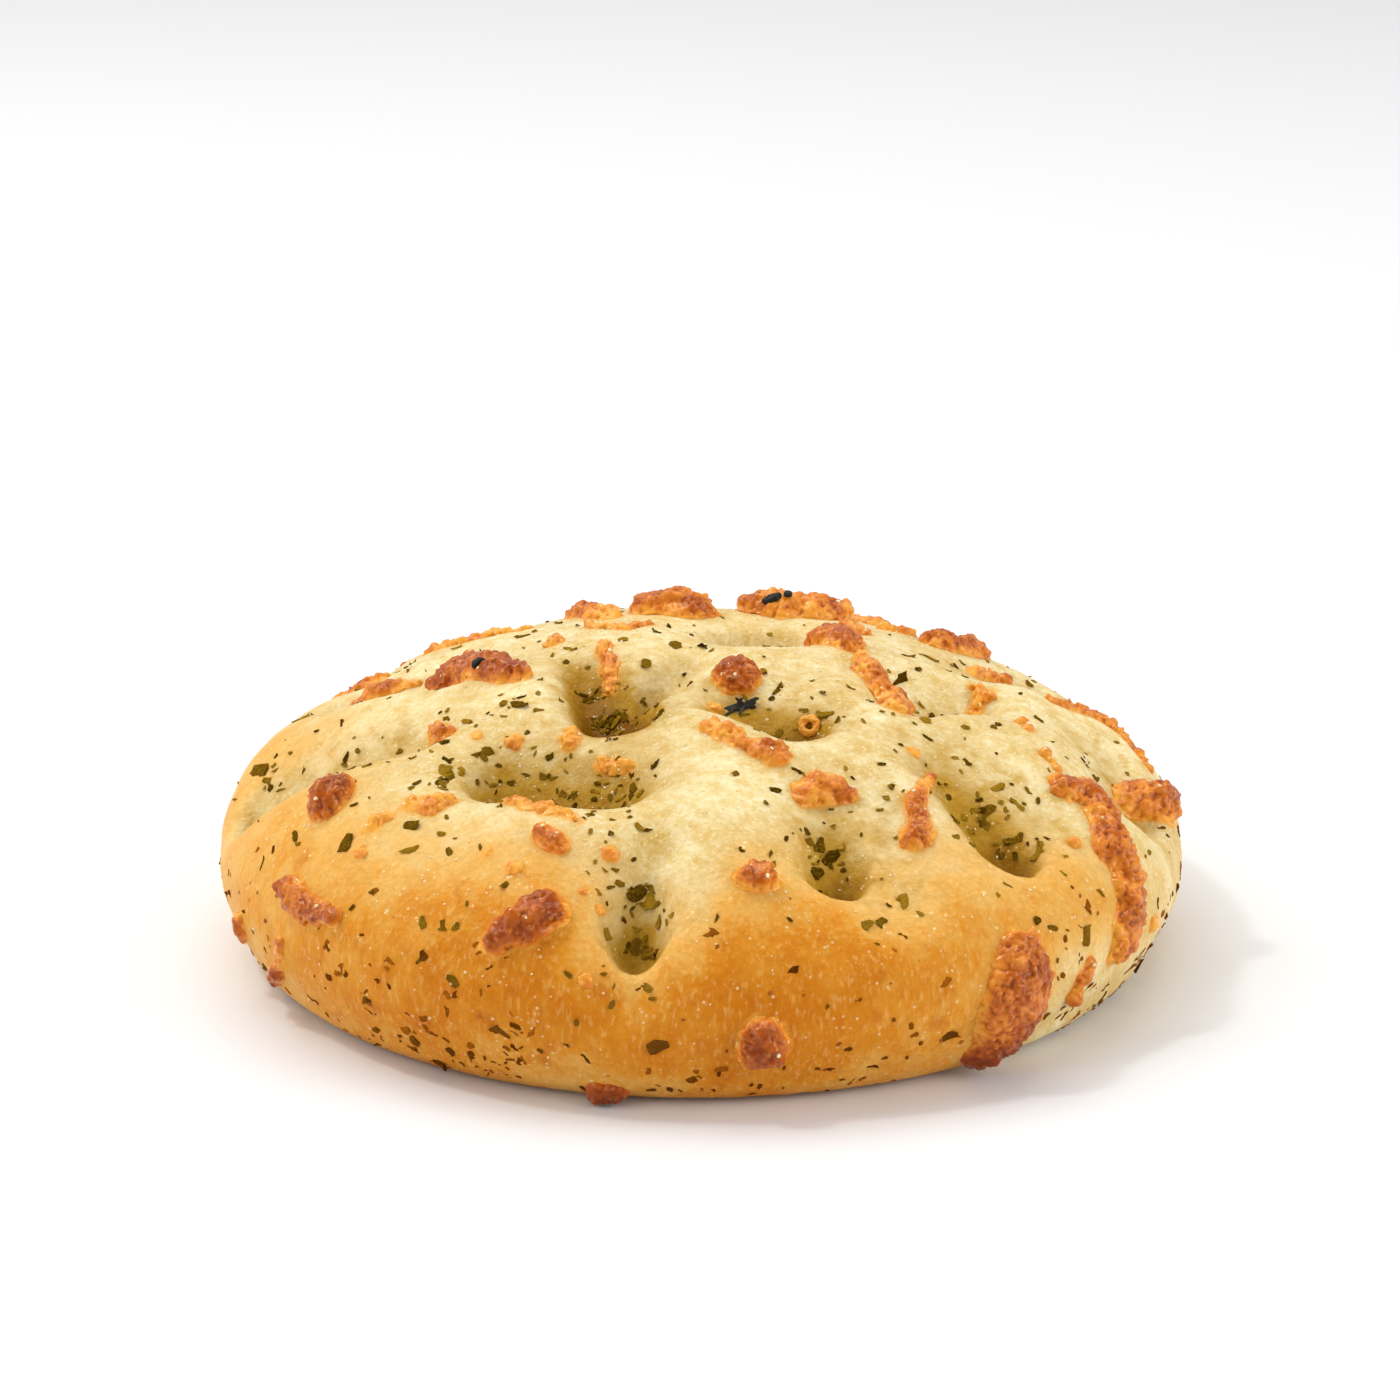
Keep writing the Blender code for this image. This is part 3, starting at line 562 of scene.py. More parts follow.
def oven_browning(places):
    """How brown the oven made each place, worked out between the rows of OVEN_SIDE."""
    away = places - np.array(HEART)
    angle = np.degrees(np.arctan2(away[:, 0], -away[:, 1]))
    elevation = np.degrees(np.arctan2(away[:, 2], np.linalg.norm(away[:, :2], axis=1)))
    angles, *columns = np.array(OVEN_SIDE, float).T
    start, strength, paler, paler_below = (np.interp(angle, angles, column) for column in columns)
    lowest = paler * smoothstep((paler_below - elevation) / PALER_WIDTH)
    return strength * smoothstep((start - elevation) / BROWNING_WIDTH) * (1 - lowest)


print("browning is given at", len(OVEN_SIDE), "angles")

# %% Keep the oil with its painted pit shade, the browning and the film
# how much oil and painted shade a pit gets, against 1 for most pits; the deep steep pits get more
OIL_AND_SHADE_SHARES = {
    "front_notch": 0.72, "front_notch_lip": 0.0, "left_fold": 0.55, "left_back_fold": 0.5,
    "right_saddle": 0.5, "crown_back": 0.2, "inner_left": 1.8, "inner_middle": 0.6, "inner_right": 1.7,
    "right_shoulder": 1.35, "front_right": 1.1,
}
# how much a pit keeps the crust pale, against 1
PALE_SHARES = {"front_notch": 0.85, "front_notch_lip": 0.0}
FILM_REACH, FILM_SHORTEST, FILM_THICKNESS = 0.7 * MM, 0.2 * MM, 0.14 * MM
FILM_PATCH, FILM_UNEVENNESS = 2.4 * MM, 0.7
STEEPER = 1.6  # a share that is multiplied by this is full before the very end


def tree_of(objects):
    """One search tree over several meshes."""
    corners, faces = [], []
    for obj in objects:
        start = len(corners)
        corners += [vertex.co.copy() for vertex in obj.data.vertices]
        faces += [[start + corner for corner in polygon.vertices] for polygon in obj.data.polygons]
    return BVHTree.FromPolygons(corners, faces)


places = points_of(dough)
cheese_tree = tree_of(list(cheese.values()) + [cheese_crumbs])
film = np.zeros(len(places))
for index, place in enumerate(places):
    reach = FILM_REACH * (1.0 + FILM_UNEVENNESS * noise.noise(Vector(place) / FILM_PATCH))
    nearest, _, _, distance = cheese_tree.find_nearest(Vector(place), FILM_REACH * 2)
    if nearest is not None:
        film[index] = 1.0 - distance / max(reach, FILM_SHORTEST)
film = np.clip(film, 0.0, 1.0)
keep_number(dough, "film", film)
held = smoothstep((places[:, 2] - FLANK_LOW) / (FLANK_HIGH - FLANK_LOW)) / DEEPEST
pale = smoothstep(held * finger_depth(places[:, :2], PALE_SHARES) * STEEPER)
# painted shade: this number marks the oil and also darkens the deep pits where shade falls
keep_number(dough, "oil_and_pit_shade", held * finger_depth(places[:, :2], OIL_AND_SHADE_SHARES))
keep_number(dough, "browning", oven_browning(places) * (1 - pale))
paint(dough, "film", smoothstep(film * STEEPER))
push(dough, "film", FILM_THICKNESS)
print("film on", int((film > 0).sum()), "points of", len(film))

# %% [markdown]
# ## Dried herbs
# Rubbed herbs are torn flakes with sharp corners that dried folded and a little curled. One flake is
# modelled from a fan of triangles: its corners are pulled about, it is folded along its length and
# curled at one end, and Solidify gives it a thickness. A dozen of different outline are enough,
# because each copy is turned, stretched and tilted on its own.
# %% Model a handful of different flakes
HERB_SEED = 11
FLAKE_SHAPES, FEWEST_CORNERS, CORNER_COUNTS = 12, 5, 4
FLAKE_THICKNESS = 0.06  # of its length, as are the next ones
TORN, TORN_HEIGHT_SHARE, WAVY = 0.24, 0.35, 0.05  # how far the corners and then the edges are pulled about
FOLD_FROM, CURLS_FROM = 0.04, (0.1, 0.27)
FOLD_RANGE, CURL_RANGE = (0.4, 1.3), (-0.5, 1.0)  # shares of the fold and curl that are asked for


def model_flake(name, draw, corners, fold, curl):
    """A torn flake one unit across, folded along its length and curled at one end by those degrees."""
    bpy.ops.object.select_all(action="DESELECT")
    bpy.ops.mesh.primitive_circle_add(vertices=corners, radius=0.5, fill_type="TRIFAN")
    flake = bpy.context.object
    flake.name = name
    bpy.ops.object.mode_set(mode="EDIT")
    bpy.ops.mesh.select_all(action="SELECT")
    bpy.ops.transform.vertex_random(offset=TORN, seed=draw.randrange(1, 1000))
    bpy.ops.transform.resize(value=(1, 1, TORN_HEIGHT_SHARE), center_override=(0, 0, 0))
    bpy.ops.mesh.subdivide(number_cuts=1)
    bpy.ops.transform.vertex_random(offset=WAVY, seed=draw.randrange(1, 1000))
    for side in (-1, 1):
        select_where(lambda place: place.y * side > FOLD_FROM)
        turn = math.radians(side * fold * draw.uniform(*FOLD_RANGE))
        bpy.ops.transform.rotate(value=turn, orient_axis="X", center_override=(0, 0, 0))
    for reach in CURLS_FROM:
        select_where(lambda place: place.x > reach)
        turn = math.radians(curl * draw.uniform(*CURL_RANGE))
        bpy.ops.transform.rotate(value=turn, orient_axis="Y", center_override=(reach, 0, 0))
    bpy.ops.object.mode_set(mode="OBJECT")
    shape_with(flake, "SOLIDIFY", thickness=FLAKE_THICKNESS, offset=0.0)
    bpy.ops.object.mode_set(mode="EDIT")
    bpy.ops.mesh.select_all(action="SELECT")
    bpy.ops.mesh.normals_make_consistent(inside=False)
    bpy.ops.object.mode_set(mode="OBJECT")
    return flake


draw = random.Random(HERB_SEED)
flakes = [
    model_flake(f"flake_{count}", draw, FEWEST_CORNERS + count % CORNER_COUNTS, fold=13, curl=20)
    for count in range(FLAKE_SHAPES)
]
print("flake shapes:", len(flakes), "with", triangles(flakes[0]), "triangles each")

# %% [markdown]
# ## Where the herbs lie
# The larger leaves lie where the fixed model has them: the most noticeable ones are listed by
# place, and the others follow the same seeded rule, which gathers them in the pits. Smaller flakes
# are scattered between them with the same liking for pits, and heaped where oil carried them.
# %% Places of the leaves
# angle, elevation, length in mm and turn in degrees
LARGE_LEAVES = (
    (25, 62, 5.6, 10), (-53, 29.5, 3.8, 20), (-52, 24.6, 3.6, 100), (-50, 23.8, 3.2, 30), (-62, 52, 3.0, 30),
    (-55, 55, 3.4, 80), (-81, 55, 3.2, 60), (-9, 13, 3.4, 15), (-7, 12, 3.0, 100), (-8.5, 6.2, 3.6, 80),
    (-6.5, 5.3, 3.0, 20), (-92, 9, 4.2, 15), (-52, 12.6, 3.8, 110), (-4.5, -2.7, 3.8, 20),
    (91, 40.5, 3.8, 20), (52, 33, 3.3, 10), (18, 26.3, 3.3, 10), (53, 17, 3.4, 60), (58, 16.7, 2.9, 100),
    (52.7, 13, 3.2, 30), (52.7, 11, 2.9, 80), (20, 18.6, 2.9, 70), (21.5, 16.5, 3.2, 20), (18, 14.6, 2.9, 0),
    (20.5, 9, 3.0, 20), (26.7, 10.4, 3.0, 100), (-149, 76, 4.2, 90), (173, 78, 3.2, 90), (53, 62, 3.3, 60),
    (50, 2.2, 3.6, 60), (-35, -7, 3.2, 50), (-22.5, -2.8, 3.4, 150), (-32.5, -10, 2.9, 0),
    (-41.5, 14.3, 2.9, 40), (-44.3, 17, 3.2, 10), (-62, 41.6, 3.2, 20), (29, -4.5, 2.8, 30),
    (49, 46.4, 3.2, 30), (67, 34, 3.0, 20),
)
LEAF_COUNT, LEAF_LONGEST, LEAF_SHORTEST = 96, 2.8, 1.8
LEAF_LOWEST, LEAF_BARE_SHARE, FLANK_SPREAD = -12, 0.3, 1.12
LEAF_SPACING = 1.2 * MM
print("leaves listed by place:", len(LARGE_LEAVES))


# %% The rule for the other leaves
def on_round(angle, elevation):
    """The point in that direction on the round of dough before the fingers."""
    lift = math.radians(elevation)
    half_height = HEIGHT - WIDEST_AT if elevation > 0 else UNDERSIDE_DEPTH
    reach = 1.0 / math.hypot(math.cos(lift) / RADIUS, math.sin(lift) / half_height)
    return HEART + heading(angle, elevation) * reach


def herb_directions(draw, bare=LEAF_BARE_SHARE):
    """Seeded directions that gather in the pits."""
    dome_height = HEIGHT - WIDEST_AT
    while True:
        angle = draw.uniform(-180, 180)
        reach = RADIUS * FLANK_SPREAD * math.sqrt(draw.random())
        if reach < RADIUS:
            rise = dome_height * math.sqrt(1 - (reach / RADIUS) ** 2)
            elevation = math.degrees(math.atan2(rise, reach))
            depth = finger_depth(on_plan(angle, reach / MM))[0]
        else:
            elevation = LEAF_LOWEST * (reach / RADIUS - 1) / (FLANK_SPREAD - 1)
            depth = 0.0
        if draw.random() < bare + (1 - bare) * depth / DEEPEST:
            yield angle, elevation


def is_clear(point, size, taken):
    """Whether a topping of that size there keeps off all that are already placed."""
    return all((point - other).length > size + room for other, room in taken)


def leaf_places():
    """Rows of angle, elevation, length and turn, the listed leaves first."""
    draw = random.Random(HERB_SEED)
    leaves = list(LARGE_LEAVES)
    taken = [(on_round(*row[:2]), row[2] * MM / 2) for row in LARGE_LEAVES]
    taken += [(on_round(*row[:2]), row[2] * MM) for row in CRUMBS]
    drawn = 0
    for angle, elevation in herb_directions(draw):
        length = LEAF_LONGEST + (LEAF_SHORTEST - LEAF_LONGEST) * drawn / LEAF_COUNT
        point = on_round(angle, elevation)
        if is_clear(point, length * MM / 2 + LEAF_SPACING, taken):
            leaves.append((angle, elevation, length, draw.uniform(0, 360)))
            taken.append((point, length * MM / 2))
            drawn += 1
            if drawn == LEAF_COUNT:
                return leaves


leaves = leaf_places()
print("leaves:", len(leaves), "the last one at", leaves[-1])


# %% Lay copies of the flakes on the crust
CLEARANCE = 0.1  # mm between a leaf and the cheese


def lay(shapes, rows, name, draw, width=(0.35, 0.65), thickness=1.0, tilt=14, lift=0.2, off_cheese=False):
    """Copies of the shapes at rows of angle, elevation, length and turn, in one piece."""
    copies = []
    for angle, elevation, length, turn in rows:
        point, normal = on_crust(angle, elevation)
        shape = draw.choice(shapes)
        wide = length * draw.uniform(*width)
        lean = Matrix.Rotation(math.radians(draw.uniform(-tilt, tilt)), 4, "X")
        lean = lean @ Matrix.Rotation(math.radians(draw.uniform(-tilt, tilt)), 4, "Y")
        tint = draw.random()
        if off_cheese and cheese_tree.find_nearest(point, (length / 2 + CLEARANCE) * MM)[0] is not None:
            continue
        size = Matrix.Diagonal((length * MM, wide * MM, length * MM * thickness, 1))
        place = seat(point + normal * lift * MM, normal, math.radians(turn)) @ lean @ size
        copies.append((shape, place, tint))
    laid = many(name, copies)
    print(name, ":", len(copies), "copies,", triangles(laid), "triangles")
    return laid


draw = random.Random(HERB_SEED + 1)
plain_leaves = leaves[1:]  # the first one is the dark curled bunch, which comes later
herb_leaves = lay(flakes, plain_leaves, "herb_leaves", draw, width=(0.45, 0.8), tilt=10, off_cheese=True)

# %% Scatter the small flakes between them
SMALL_FLAKES = 620
# shortest, longest and most usual length in mm
SMALL_LENGTHS, HEAPED_LENGTHS = (0.5, 2.1, 1.0), (0.6, 2.0, 1.1)
# angle, elevation and number of the flakes that lie in a heap
HEAPS = (
    (-62, 52, 16), (-55, 55, 16), (-81, 55, 12), (-9, 13, 12), (-8, 6, 16), (-51, 24.5, 16), (54, 17, 12),
    (53, 12, 12), (20, 17.5, 14), (46, 46, 8), (-20, 25, 12), (-32, 27, 12), (-14, 23, 8), (-92, 9, 8),
)
HEAP_SPREAD = 2.0  # degrees
SMALL_BARE_SHARE = 0.16


def sized(direction, lengths, draw):
    """A row for lay: that direction with a drawn length and turn."""
    return (*direction, draw.triangular(*lengths), draw.uniform(0, 360))


directions = herb_directions(random.Random(HERB_SEED + 2), SMALL_BARE_SHARE)
small = [sized(next(directions), SMALL_LENGTHS, draw) for _ in range(SMALL_FLAKES)]
for angle, elevation, number in HEAPS:
    for _ in range(number):
        across = draw.gauss(0, HEAP_SPREAD) / math.cos(math.radians(elevation))
        along = draw.gauss(0, HEAP_SPREAD)
        small.append(sized((angle + across, elevation + along), HEAPED_LENGTHS, draw))
herb_flakes = lay(flakes, small, "herb_flakes", draw, width=(0.35, 0.9), lift=0.15)

# %% Toasted flakes low on the flank
# middle angle, spread and how many, then the rest all round
TOASTED_GROUPS = (
    (-35, 6, 46), (-24, 5, 34), (-48, 5, 18), (-72, 12, 34), (10, 16, 26), (62, 14, 64), (88, 12, 24),
    (0, 180, 100),
)
TOASTED_ELEVATIONS = (-24, 12, -11)  # lowest, highest and most usual
TOASTED_LENGTHS = (0.5, 2.4, 0.9)
PAIR_SPREAD = (0.7, 0.9)  # degrees round and up between two flakes that stick together
toasted = []
for middle, spread, number in TOASTED_GROUPS:
    for _ in range(number):
        angle = middle + draw.uniform(-spread, spread)
        elevation = draw.triangular(*TOASTED_ELEVATIONS)
        for _ in range(draw.choice((1, 1, 2))):
            beside = (angle + draw.gauss(0, PAIR_SPREAD[0]), elevation + draw.gauss(0, PAIR_SPREAD[1]))
            toasted.append(sized(beside, TOASTED_LENGTHS, draw))
toasted_flakes = lay(
    flakes, toasted, "toasted_flakes", draw, width=(0.35, 1.0), thickness=0.8, tilt=5, lift=0.05
)
for flake in flakes:
    bpy.data.objects.remove(flake)

# %% [markdown]
# ## Specks, grains and dark bits
# Little lumps of red-brown toasted cheese dot the flank, and pale grains of hard cheese are scattered
# all over. Three charred bits sit on the cheese and a bunch of dark curled leaves lies in front of
# the crown. Specks, grains and charred bits are lumps, not plates, so they start from small balls.
# %% Specks on the flank
def model_lump(name, draw, unevenness):
    """A small uneven lump one unit across."""
    lump = add_ball(1, 0.5)
    lump.name = name
    bpy.ops.object.mode_set(mode="EDIT")
    bpy.ops.mesh.select_all(action="SELECT")
    bpy.ops.transform.vertex_random(offset=unevenness, seed=draw.randrange(1, 1000))
    bpy.ops.object.mode_set(mode="OBJECT")
    return lump


draw = random.Random(HERB_SEED + 3)
LUMP_SHAPES, LUMP_UNEVENNESS = 5, 0.14
lumps = [model_lump(f"lump_{count}", draw, LUMP_UNEVENNESS) for count in range(LUMP_SHAPES)]
SPECKS = 130
SPECK_ELEVATIONS, SPECK_LENGTHS = (-22, 16, -6), (0.3, 1.2, 0.5)
specks = [
    sized((draw.uniform(-180, 180), draw.triangular(*SPECK_ELEVATIONS)), SPECK_LENGTHS, draw)
    for _ in range(SPECKS)
]
toasted_specks = lay(
    lumps, specks, "toasted_specks", draw, width=(0.5, 1.0), thickness=0.4, tilt=5, lift=0.0
)

# %% Pale grains
GRAINS = 1300
GRAINS_STOP_AT = 0.3  # this share of the deepest pit
GRAIN_LENGTHS = (0.16, 0.6, 0.25)
GRAIN_RISE, GRAIN_LOWEST = 0.9, -8  # the grains end a little under the widest ring
grains = []
while len(grains) < GRAINS:
    angle, reach = draw.uniform(-180, 180), math.sqrt(draw.random())
    elevation = math.degrees(math.acos(reach)) * GRAIN_RISE + GRAIN_LOWEST
    if finger_depth(on_plan(angle, reach * RADIUS / MM))[0] < GRAINS_STOP_AT * DEEPEST:
        grains.append(sized((angle, elevation), GRAIN_LENGTHS, draw))
pale_grains = lay(
    lumps, grains, "pale_grains", draw, width=(0.6, 1.0), thickness=0.7, tilt=20, lift=0.05
)

# %% Grains on the cheese
GRAINS_A_PIECE, GRAIN_SMALLEST, GRAIN_LARGEST, GRAIN_FLATNESS = 2, 0.35 * MM, 0.8 * MM, 0.8
UPWARDS = 0.3  # least height of the normal where a grain stays on
tops = []
for name in cheese_nodes:
    high = [vertex for vertex in cheese[name].data.vertices if vertex.normal.z > UPWARDS]
    for vertex in draw.sample(high, GRAINS_A_PIECE):
        size = draw.uniform(GRAIN_SMALLEST, GRAIN_LARGEST)
        shape = Matrix.Diagonal((size, size, size * GRAIN_FLATNESS, 1))
        place = seat(vertex.co.copy(), vertex.normal.copy()) @ shape
        tops.append((draw.choice(lumps), place, draw.random()))
cheese_grains = many("cheese_grains", tops)
print("grains on cheese:", len(tops))

# %% The bunch of dark curled leaves
draw = random.Random(HERB_SEED + 4)
dark_shapes = [model_flake(f"curl_{count}", draw, corners=6, fold=34, curl=30) for count in range(3)]
DARK_CURLS = ((25, 62.5, 6.2, 4), (20, 61, 4.4, 35), (29, 61.5, 3.6, -25), (26, 60.5, 3.0, 60))
dark_curls = lay(dark_shapes, DARK_CURLS, "dark_curls", draw, width=(0.2, 0.34), tilt=24, lift=0.6)


# %% Charred bits
def on_top(angle, elevation):
    """Like on_crust, but of whatever lies highest there: cheese or crust."""
    way = heading(angle, elevation)
    point, normal, _, _ = cheese_tree.ray_cast(HEART + way * 2 * RADIUS, -way)
    return (point, normal) if point is not None else on_crust(angle, elevation)


# angle, elevation, length, width and height in mm, turn in degrees
BITS = ((-93, 39.8, 2.6, 2.2, 1.8, 0), (160, 41.3, 3.4, 2.2, 1.4, 80), (156.5, 40.6, 1.9, 1.4, 1.0, 0))
WRINKLE_SIZE, WRINKLE_HEIGHT = 0.7 * MM, 0.5 * MM
bits = []
for angle, elevation, length, width, height, turn in BITS:
    point, normal = on_top(angle, elevation)
    bit = add_ball(3, 0.5)
    size = Matrix.Diagonal((length * MM, width * MM, height * MM, 1))
    bit.matrix_world = seat(point + normal * height * MM / 10, normal, math.radians(turn)) @ size
    bits.append(bit)
charred_bits = join_as("charred_bits", bits)
roughen(charred_bits, WRINKLE_SIZE, WRINKLE_HEIGHT)
shade_smoothly(charred_bits)
for shape in dark_shapes + lumps:
    bpy.data.objects.remove(shape)
print("charred bits:", len(bits), triangles(charred_bits), "triangles")

# %% [markdown]
# ## A ring of cheese in the right inner pit
# One crumb has baked into a little ring with a dark hole. A torus has that form from the start. It
# is laid in the pit and wrinkled.
# %% The ring
RING_RADIUS, RING_TUBE, RING_LIFT, RING_VOXEL = 1.15 * MM, 0.6 * MM, 0.4 * MM, 0.2 * MM
RING_PLACE = (44, 46)  # angle and elevation
RING_LEAN = Vector((0, -0.5, 0))  # its face looks up and to the front
RING_BROWNING, POINTS_A_TINT = 0.35, 150
bpy.ops.object.select_all(action="DESELECT")
bpy.ops.mesh.primitive_torus_add(
    major_radius=RING_RADIUS, minor_radius=RING_TUBE, major_segments=28, minor_segments=12
)
ring = bpy.context.object
point, normal = on_crust(*RING_PLACE)
ring.matrix_world = seat(point + normal * RING_LIFT, (normal + RING_LEAN).normalized())
cheese_ring = join_as("cheese_ring", [ring])
shape_with(cheese_ring, "REMESH", mode="VOXEL", voxel_size=RING_VOXEL)
roughen(cheese_ring, WRINKLE_SIZE, WRINKLE_HEIGHT)
knots = points_of(cheese_ring)[::POINTS_A_TINT]
colour_numbers(cheese_ring, knots, RING_BROWNING, draw)
bpy.data.objects.remove(ball)
print("ring:", triangles(cheese_ring), "triangles")

# %% [markdown]
# ## Nothing below the table
# The bread stands on its flat base. Froth or flakes low on the flank that would reach below it are
# pressed flat, as the baking tray did.
# %% Press flat what reaches too low
toppings = [
    *cheese.values(), cheese_crumbs, cheese_ring, herb_leaves, herb_flakes, toasted_flakes, toasted_specks,
    pale_grains, cheese_grains, dark_curls, charred_bits,
]
low_pieces = [piece for piece in toppings if points_of(piece)[:, 2].min() < 0]
for piece in low_pieces:
    press_flat(piece, 0.0)
print("pressed flat:", [piece.name for piece in low_pieces])

# %% [markdown]
# ## Materials from nodes
# Each material is a Principled shader that a few noises and the kept numbers feed. A short helper
# adds a node and links or sets its inputs, which keeps each material readable from top to bottom.
# %% Start a material, add nodes and link them
def start_material(name, roughness, **sockets):
    """A material, its node tree and its Principled shader with the constants set."""
    material = bpy.data.materials.new(name)
    material.use_nodes = True
    shader = material.node_tree.nodes["Principled BSDF"]
    shader.inputs["Roughness"].default_value = roughness
    for key, value in sockets.items():
        shader.inputs[key.replace("_", " ")].default_value = value
    return material, material.node_tree, shader


def set_or_link(tree, socket, value):
    """Links the value where it is a socket, and sets it where it is a constant."""
    if isinstance(value, bpy.types.NodeSocket):
        tree.links.new(value, socket)
    else:
        socket.default_value = value


def add(tree, kind, settings=None, **inputs):
    """Adds a node with its settings and inputs."""
    made = tree.nodes.new("ShaderNode" + kind)
    for key, value in (settings or {}).items():
        setattr(made, key, value)
    for key, value in inputs.items():
        set_or_link(tree, made.inputs[key.replace("_", " ")], value)
    return made


def kept(tree, name):
    """A number that was kept for each point."""
    return add(tree, "Attribute", {"attribute_name": name}).outputs["Fac"]


def calculate(tree, operation, first, second=0.0, clamp=False):
    made = tree.nodes.new("ShaderNodeMath")
    made.operation = operation
    made.use_clamp = clamp
    for socket, value in zip(made.inputs, (first, second)):
        set_or_link(tree, socket, value)
    return made.outputs[0]


print("nodes can be added and linked")


# %% Short names for what the materials do most
def plus(tree, first, second, clamp=False):
    return calculate(tree, "ADD", first, second, clamp)


def times(tree, first, second):
    return calculate(tree, "MULTIPLY", first, second)


def both_ways(tree, pattern, strength=1.0):
    """A noise around a half, turned into one around 0 of that strength."""
    return times(tree, calculate(tree, "SUBTRACT", pattern, 0.5), strength)


def between(tree, value, low, high, to_low=0.0, to_high=1.0):
    """Smoothly turns low..high into to_low..to_high."""
    settings = {"interpolation_type": "SMOOTHSTEP"}
    made = add(
        tree, "MapRange", settings, Value=value, From_Min=low, From_Max=high, To_Min=to_low, To_Max=to_high
    )
    return made.outputs["Result"]


def mix_colours(tree, share, first, second, mode="MIX"):
    made = tree.nodes.new("ShaderNodeMix")
    made.data_type = "RGBA"
    made.blend_type = mode
    for index, value in ((0, share), (6, first), (7, second)):
        value = (*value, 1.0) if isinstance(value, tuple) else value
        set_or_link(tree, made.inputs[index], value)
    return made.outputs[2]


def coat(tree, under, over, value, low, high, most=1.0):
    """Lays a colour over another, more of it as the value goes from low to high."""
    return mix_colours(tree, between(tree, value, low, high, 0.0, most), under, over)


def speckle(tree, where, size, detail=2.0, roughness=0.5):
    """A noise with features of about that size."""
    made = add(tree, "TexNoise", None, Vector=where, Scale=1.0 / size, Detail=detail, Roughness=roughness)
    return made.outputs["Fac"]


def add_bump(tree, shader, height, strength, distance):
    bump = add(tree, "Bump", None, Height=height, Strength=strength, Distance=distance)
    tree.links.new(bump.outputs["Normal"], shader.inputs["Normal"])


print("short names ready")

# %% [markdown]
# ## The crust
# The pale top is cream with yellower patches. Where oil stands it is a greenish yellow, and deep in
# the pits it is painted darker and browner for the shade that falls there. The flank turns gold and
# then orange-brown, and streaks run down it where oil ran. Fine pores and tiny pale dots cover all of
# it. They are too small to model, so they are bump and colour.
# %% The crust's colours and patterns
CREAM, PALE, YELLOW = (0.71, 0.56, 0.275), (0.82, 0.72, 0.44), (0.70, 0.49, 0.15)
FLECK = (0.93, 0.86, 0.64)
# painted shade: both oil colours are darker than oil alone, the soaked brown most, for the pits' shade
OILED_AND_SHADED, SOAKED_AND_SHADED = (0.45, 0.26, 0.024), (0.22, 0.09, 0.002)
GOLD, AMBER = (0.77, 0.455, 0.125), (0.70, 0.295, 0.026)
TOASTED, RUSTY = (0.60, 0.195, 0.008), (0.45, 0.095, 0.006)
FILM_ORANGE = (0.80, 0.38, 0.06)
DOT, THREAD = (0.95, 0.84, 0.58), (0.90, 0.62, 0.25)
WHITE = (1.0, 1.0, 1.0)
BROAD_SIZE, BLOTCH_SIZE, PATCH_SIZE, FINE_SIZE = 14 * MM, 6.0 * MM, 4.0 * MM, 0.9 * MM
STREAK_SIZE, THREAD_SIZE, FLECK_SIZE = 1.8 * MM, 0.65 * MM, 0.55 * MM
RUN_DOWN = 0.28  # the noise changes only this much as fast along Z, so its spots become streaks
DOT_SPACING, PORE_SIZE, PORE_DEPTH = 1.3 * MM, 0.8 * MM, 0.28 * MM

crust_finish, tree, shader = start_material(
    "crust_finish", 0.42, Subsurface_Weight=0.12, Subsurface_Radius=(1.0, 0.5, 0.2),
    Subsurface_Scale=0.003, Specular_IOR_Level=0.1, Specular_Tint=(1.0, 0.85, 0.6, 1.0),
)
where = add(tree, "TexCoord").outputs["Object"]
broad = speckle(tree, where, BROAD_SIZE)
blotchy = speckle(tree, where, BLOTCH_SIZE)
patchy = speckle(tree, where, PATCH_SIZE, 3.0)
fine = speckle(tree, where, FINE_SIZE, 4.0, 0.6)
run_down = add(tree, "Mapping", None, Vector=where, Scale=(1.0, 1.0, RUN_DOWN)).outputs["Vector"]
streaks = speckle(tree, run_down, STREAK_SIZE, 3.0)
threads = speckle(tree, run_down, THREAD_SIZE)
flecks = speckle(tree, where, FLECK_SIZE)
print("patterns of the crust:", len(tree.nodes), "nodes")

# %% The pale top and the oil in its pits, with their painted shade
top = coat(tree, CREAM, PALE, broad, 0.35, 0.65)
top = coat(tree, top, YELLOW, patchy, 0.45, 0.7, 0.6)
top = coat(tree, top, FLECK, flecks, 0.52, 0.68, 0.4)
# painted shade: the oil colour darkens with the depth of the pit
mottled_oil_and_shade = plus(tree, kept(tree, "oil_and_pit_shade"), both_ways(tree, patchy, 0.5))
oil_and_pit_shade = between(tree, mottled_oil_and_shade, 0.03, 0.58)
top = mix_colours(tree, oil_and_pit_shade, top, OILED_AND_SHADED)
top = coat(tree, top, SOAKED_AND_SHADED, mottled_oil_and_shade, 0.45, 1.1)
print("with the oil:", len(tree.nodes), "nodes")

# %% The browned flank
browning = kept(tree, "browning")
uneven = plus(tree, between(tree, blotchy, 0.3, 0.7, -0.15, 0.13), both_ways(tree, streaks))
uneven = times(tree, uneven, plus(tree, times(tree, browning, 0.7), 0.25))
baked = plus(tree, browning, uneven)
side = coat(tree, top, GOLD, baked, 0.0, 0.6)
side = coat(tree, side, AMBER, baked, 0.45, 0.95)
side = coat(tree, side, TOASTED, baked, 0.75, 1.3)
pale_threads = times(tree, between(tree, threads, 0.52, 0.72, 0.0, 0.28), between(tree, baked, 0.1, 0.5))
side = mix_colours(tree, pale_threads, side, THREAD)
rust = times(tree, between(tree, baked, 0.5, 1.0), between(tree, patchy, 0.55, 0.8, 0.0, 0.6))
side = mix_colours(tree, rust, side, RUSTY)
print("with the browning:", len(tree.nodes), "nodes")

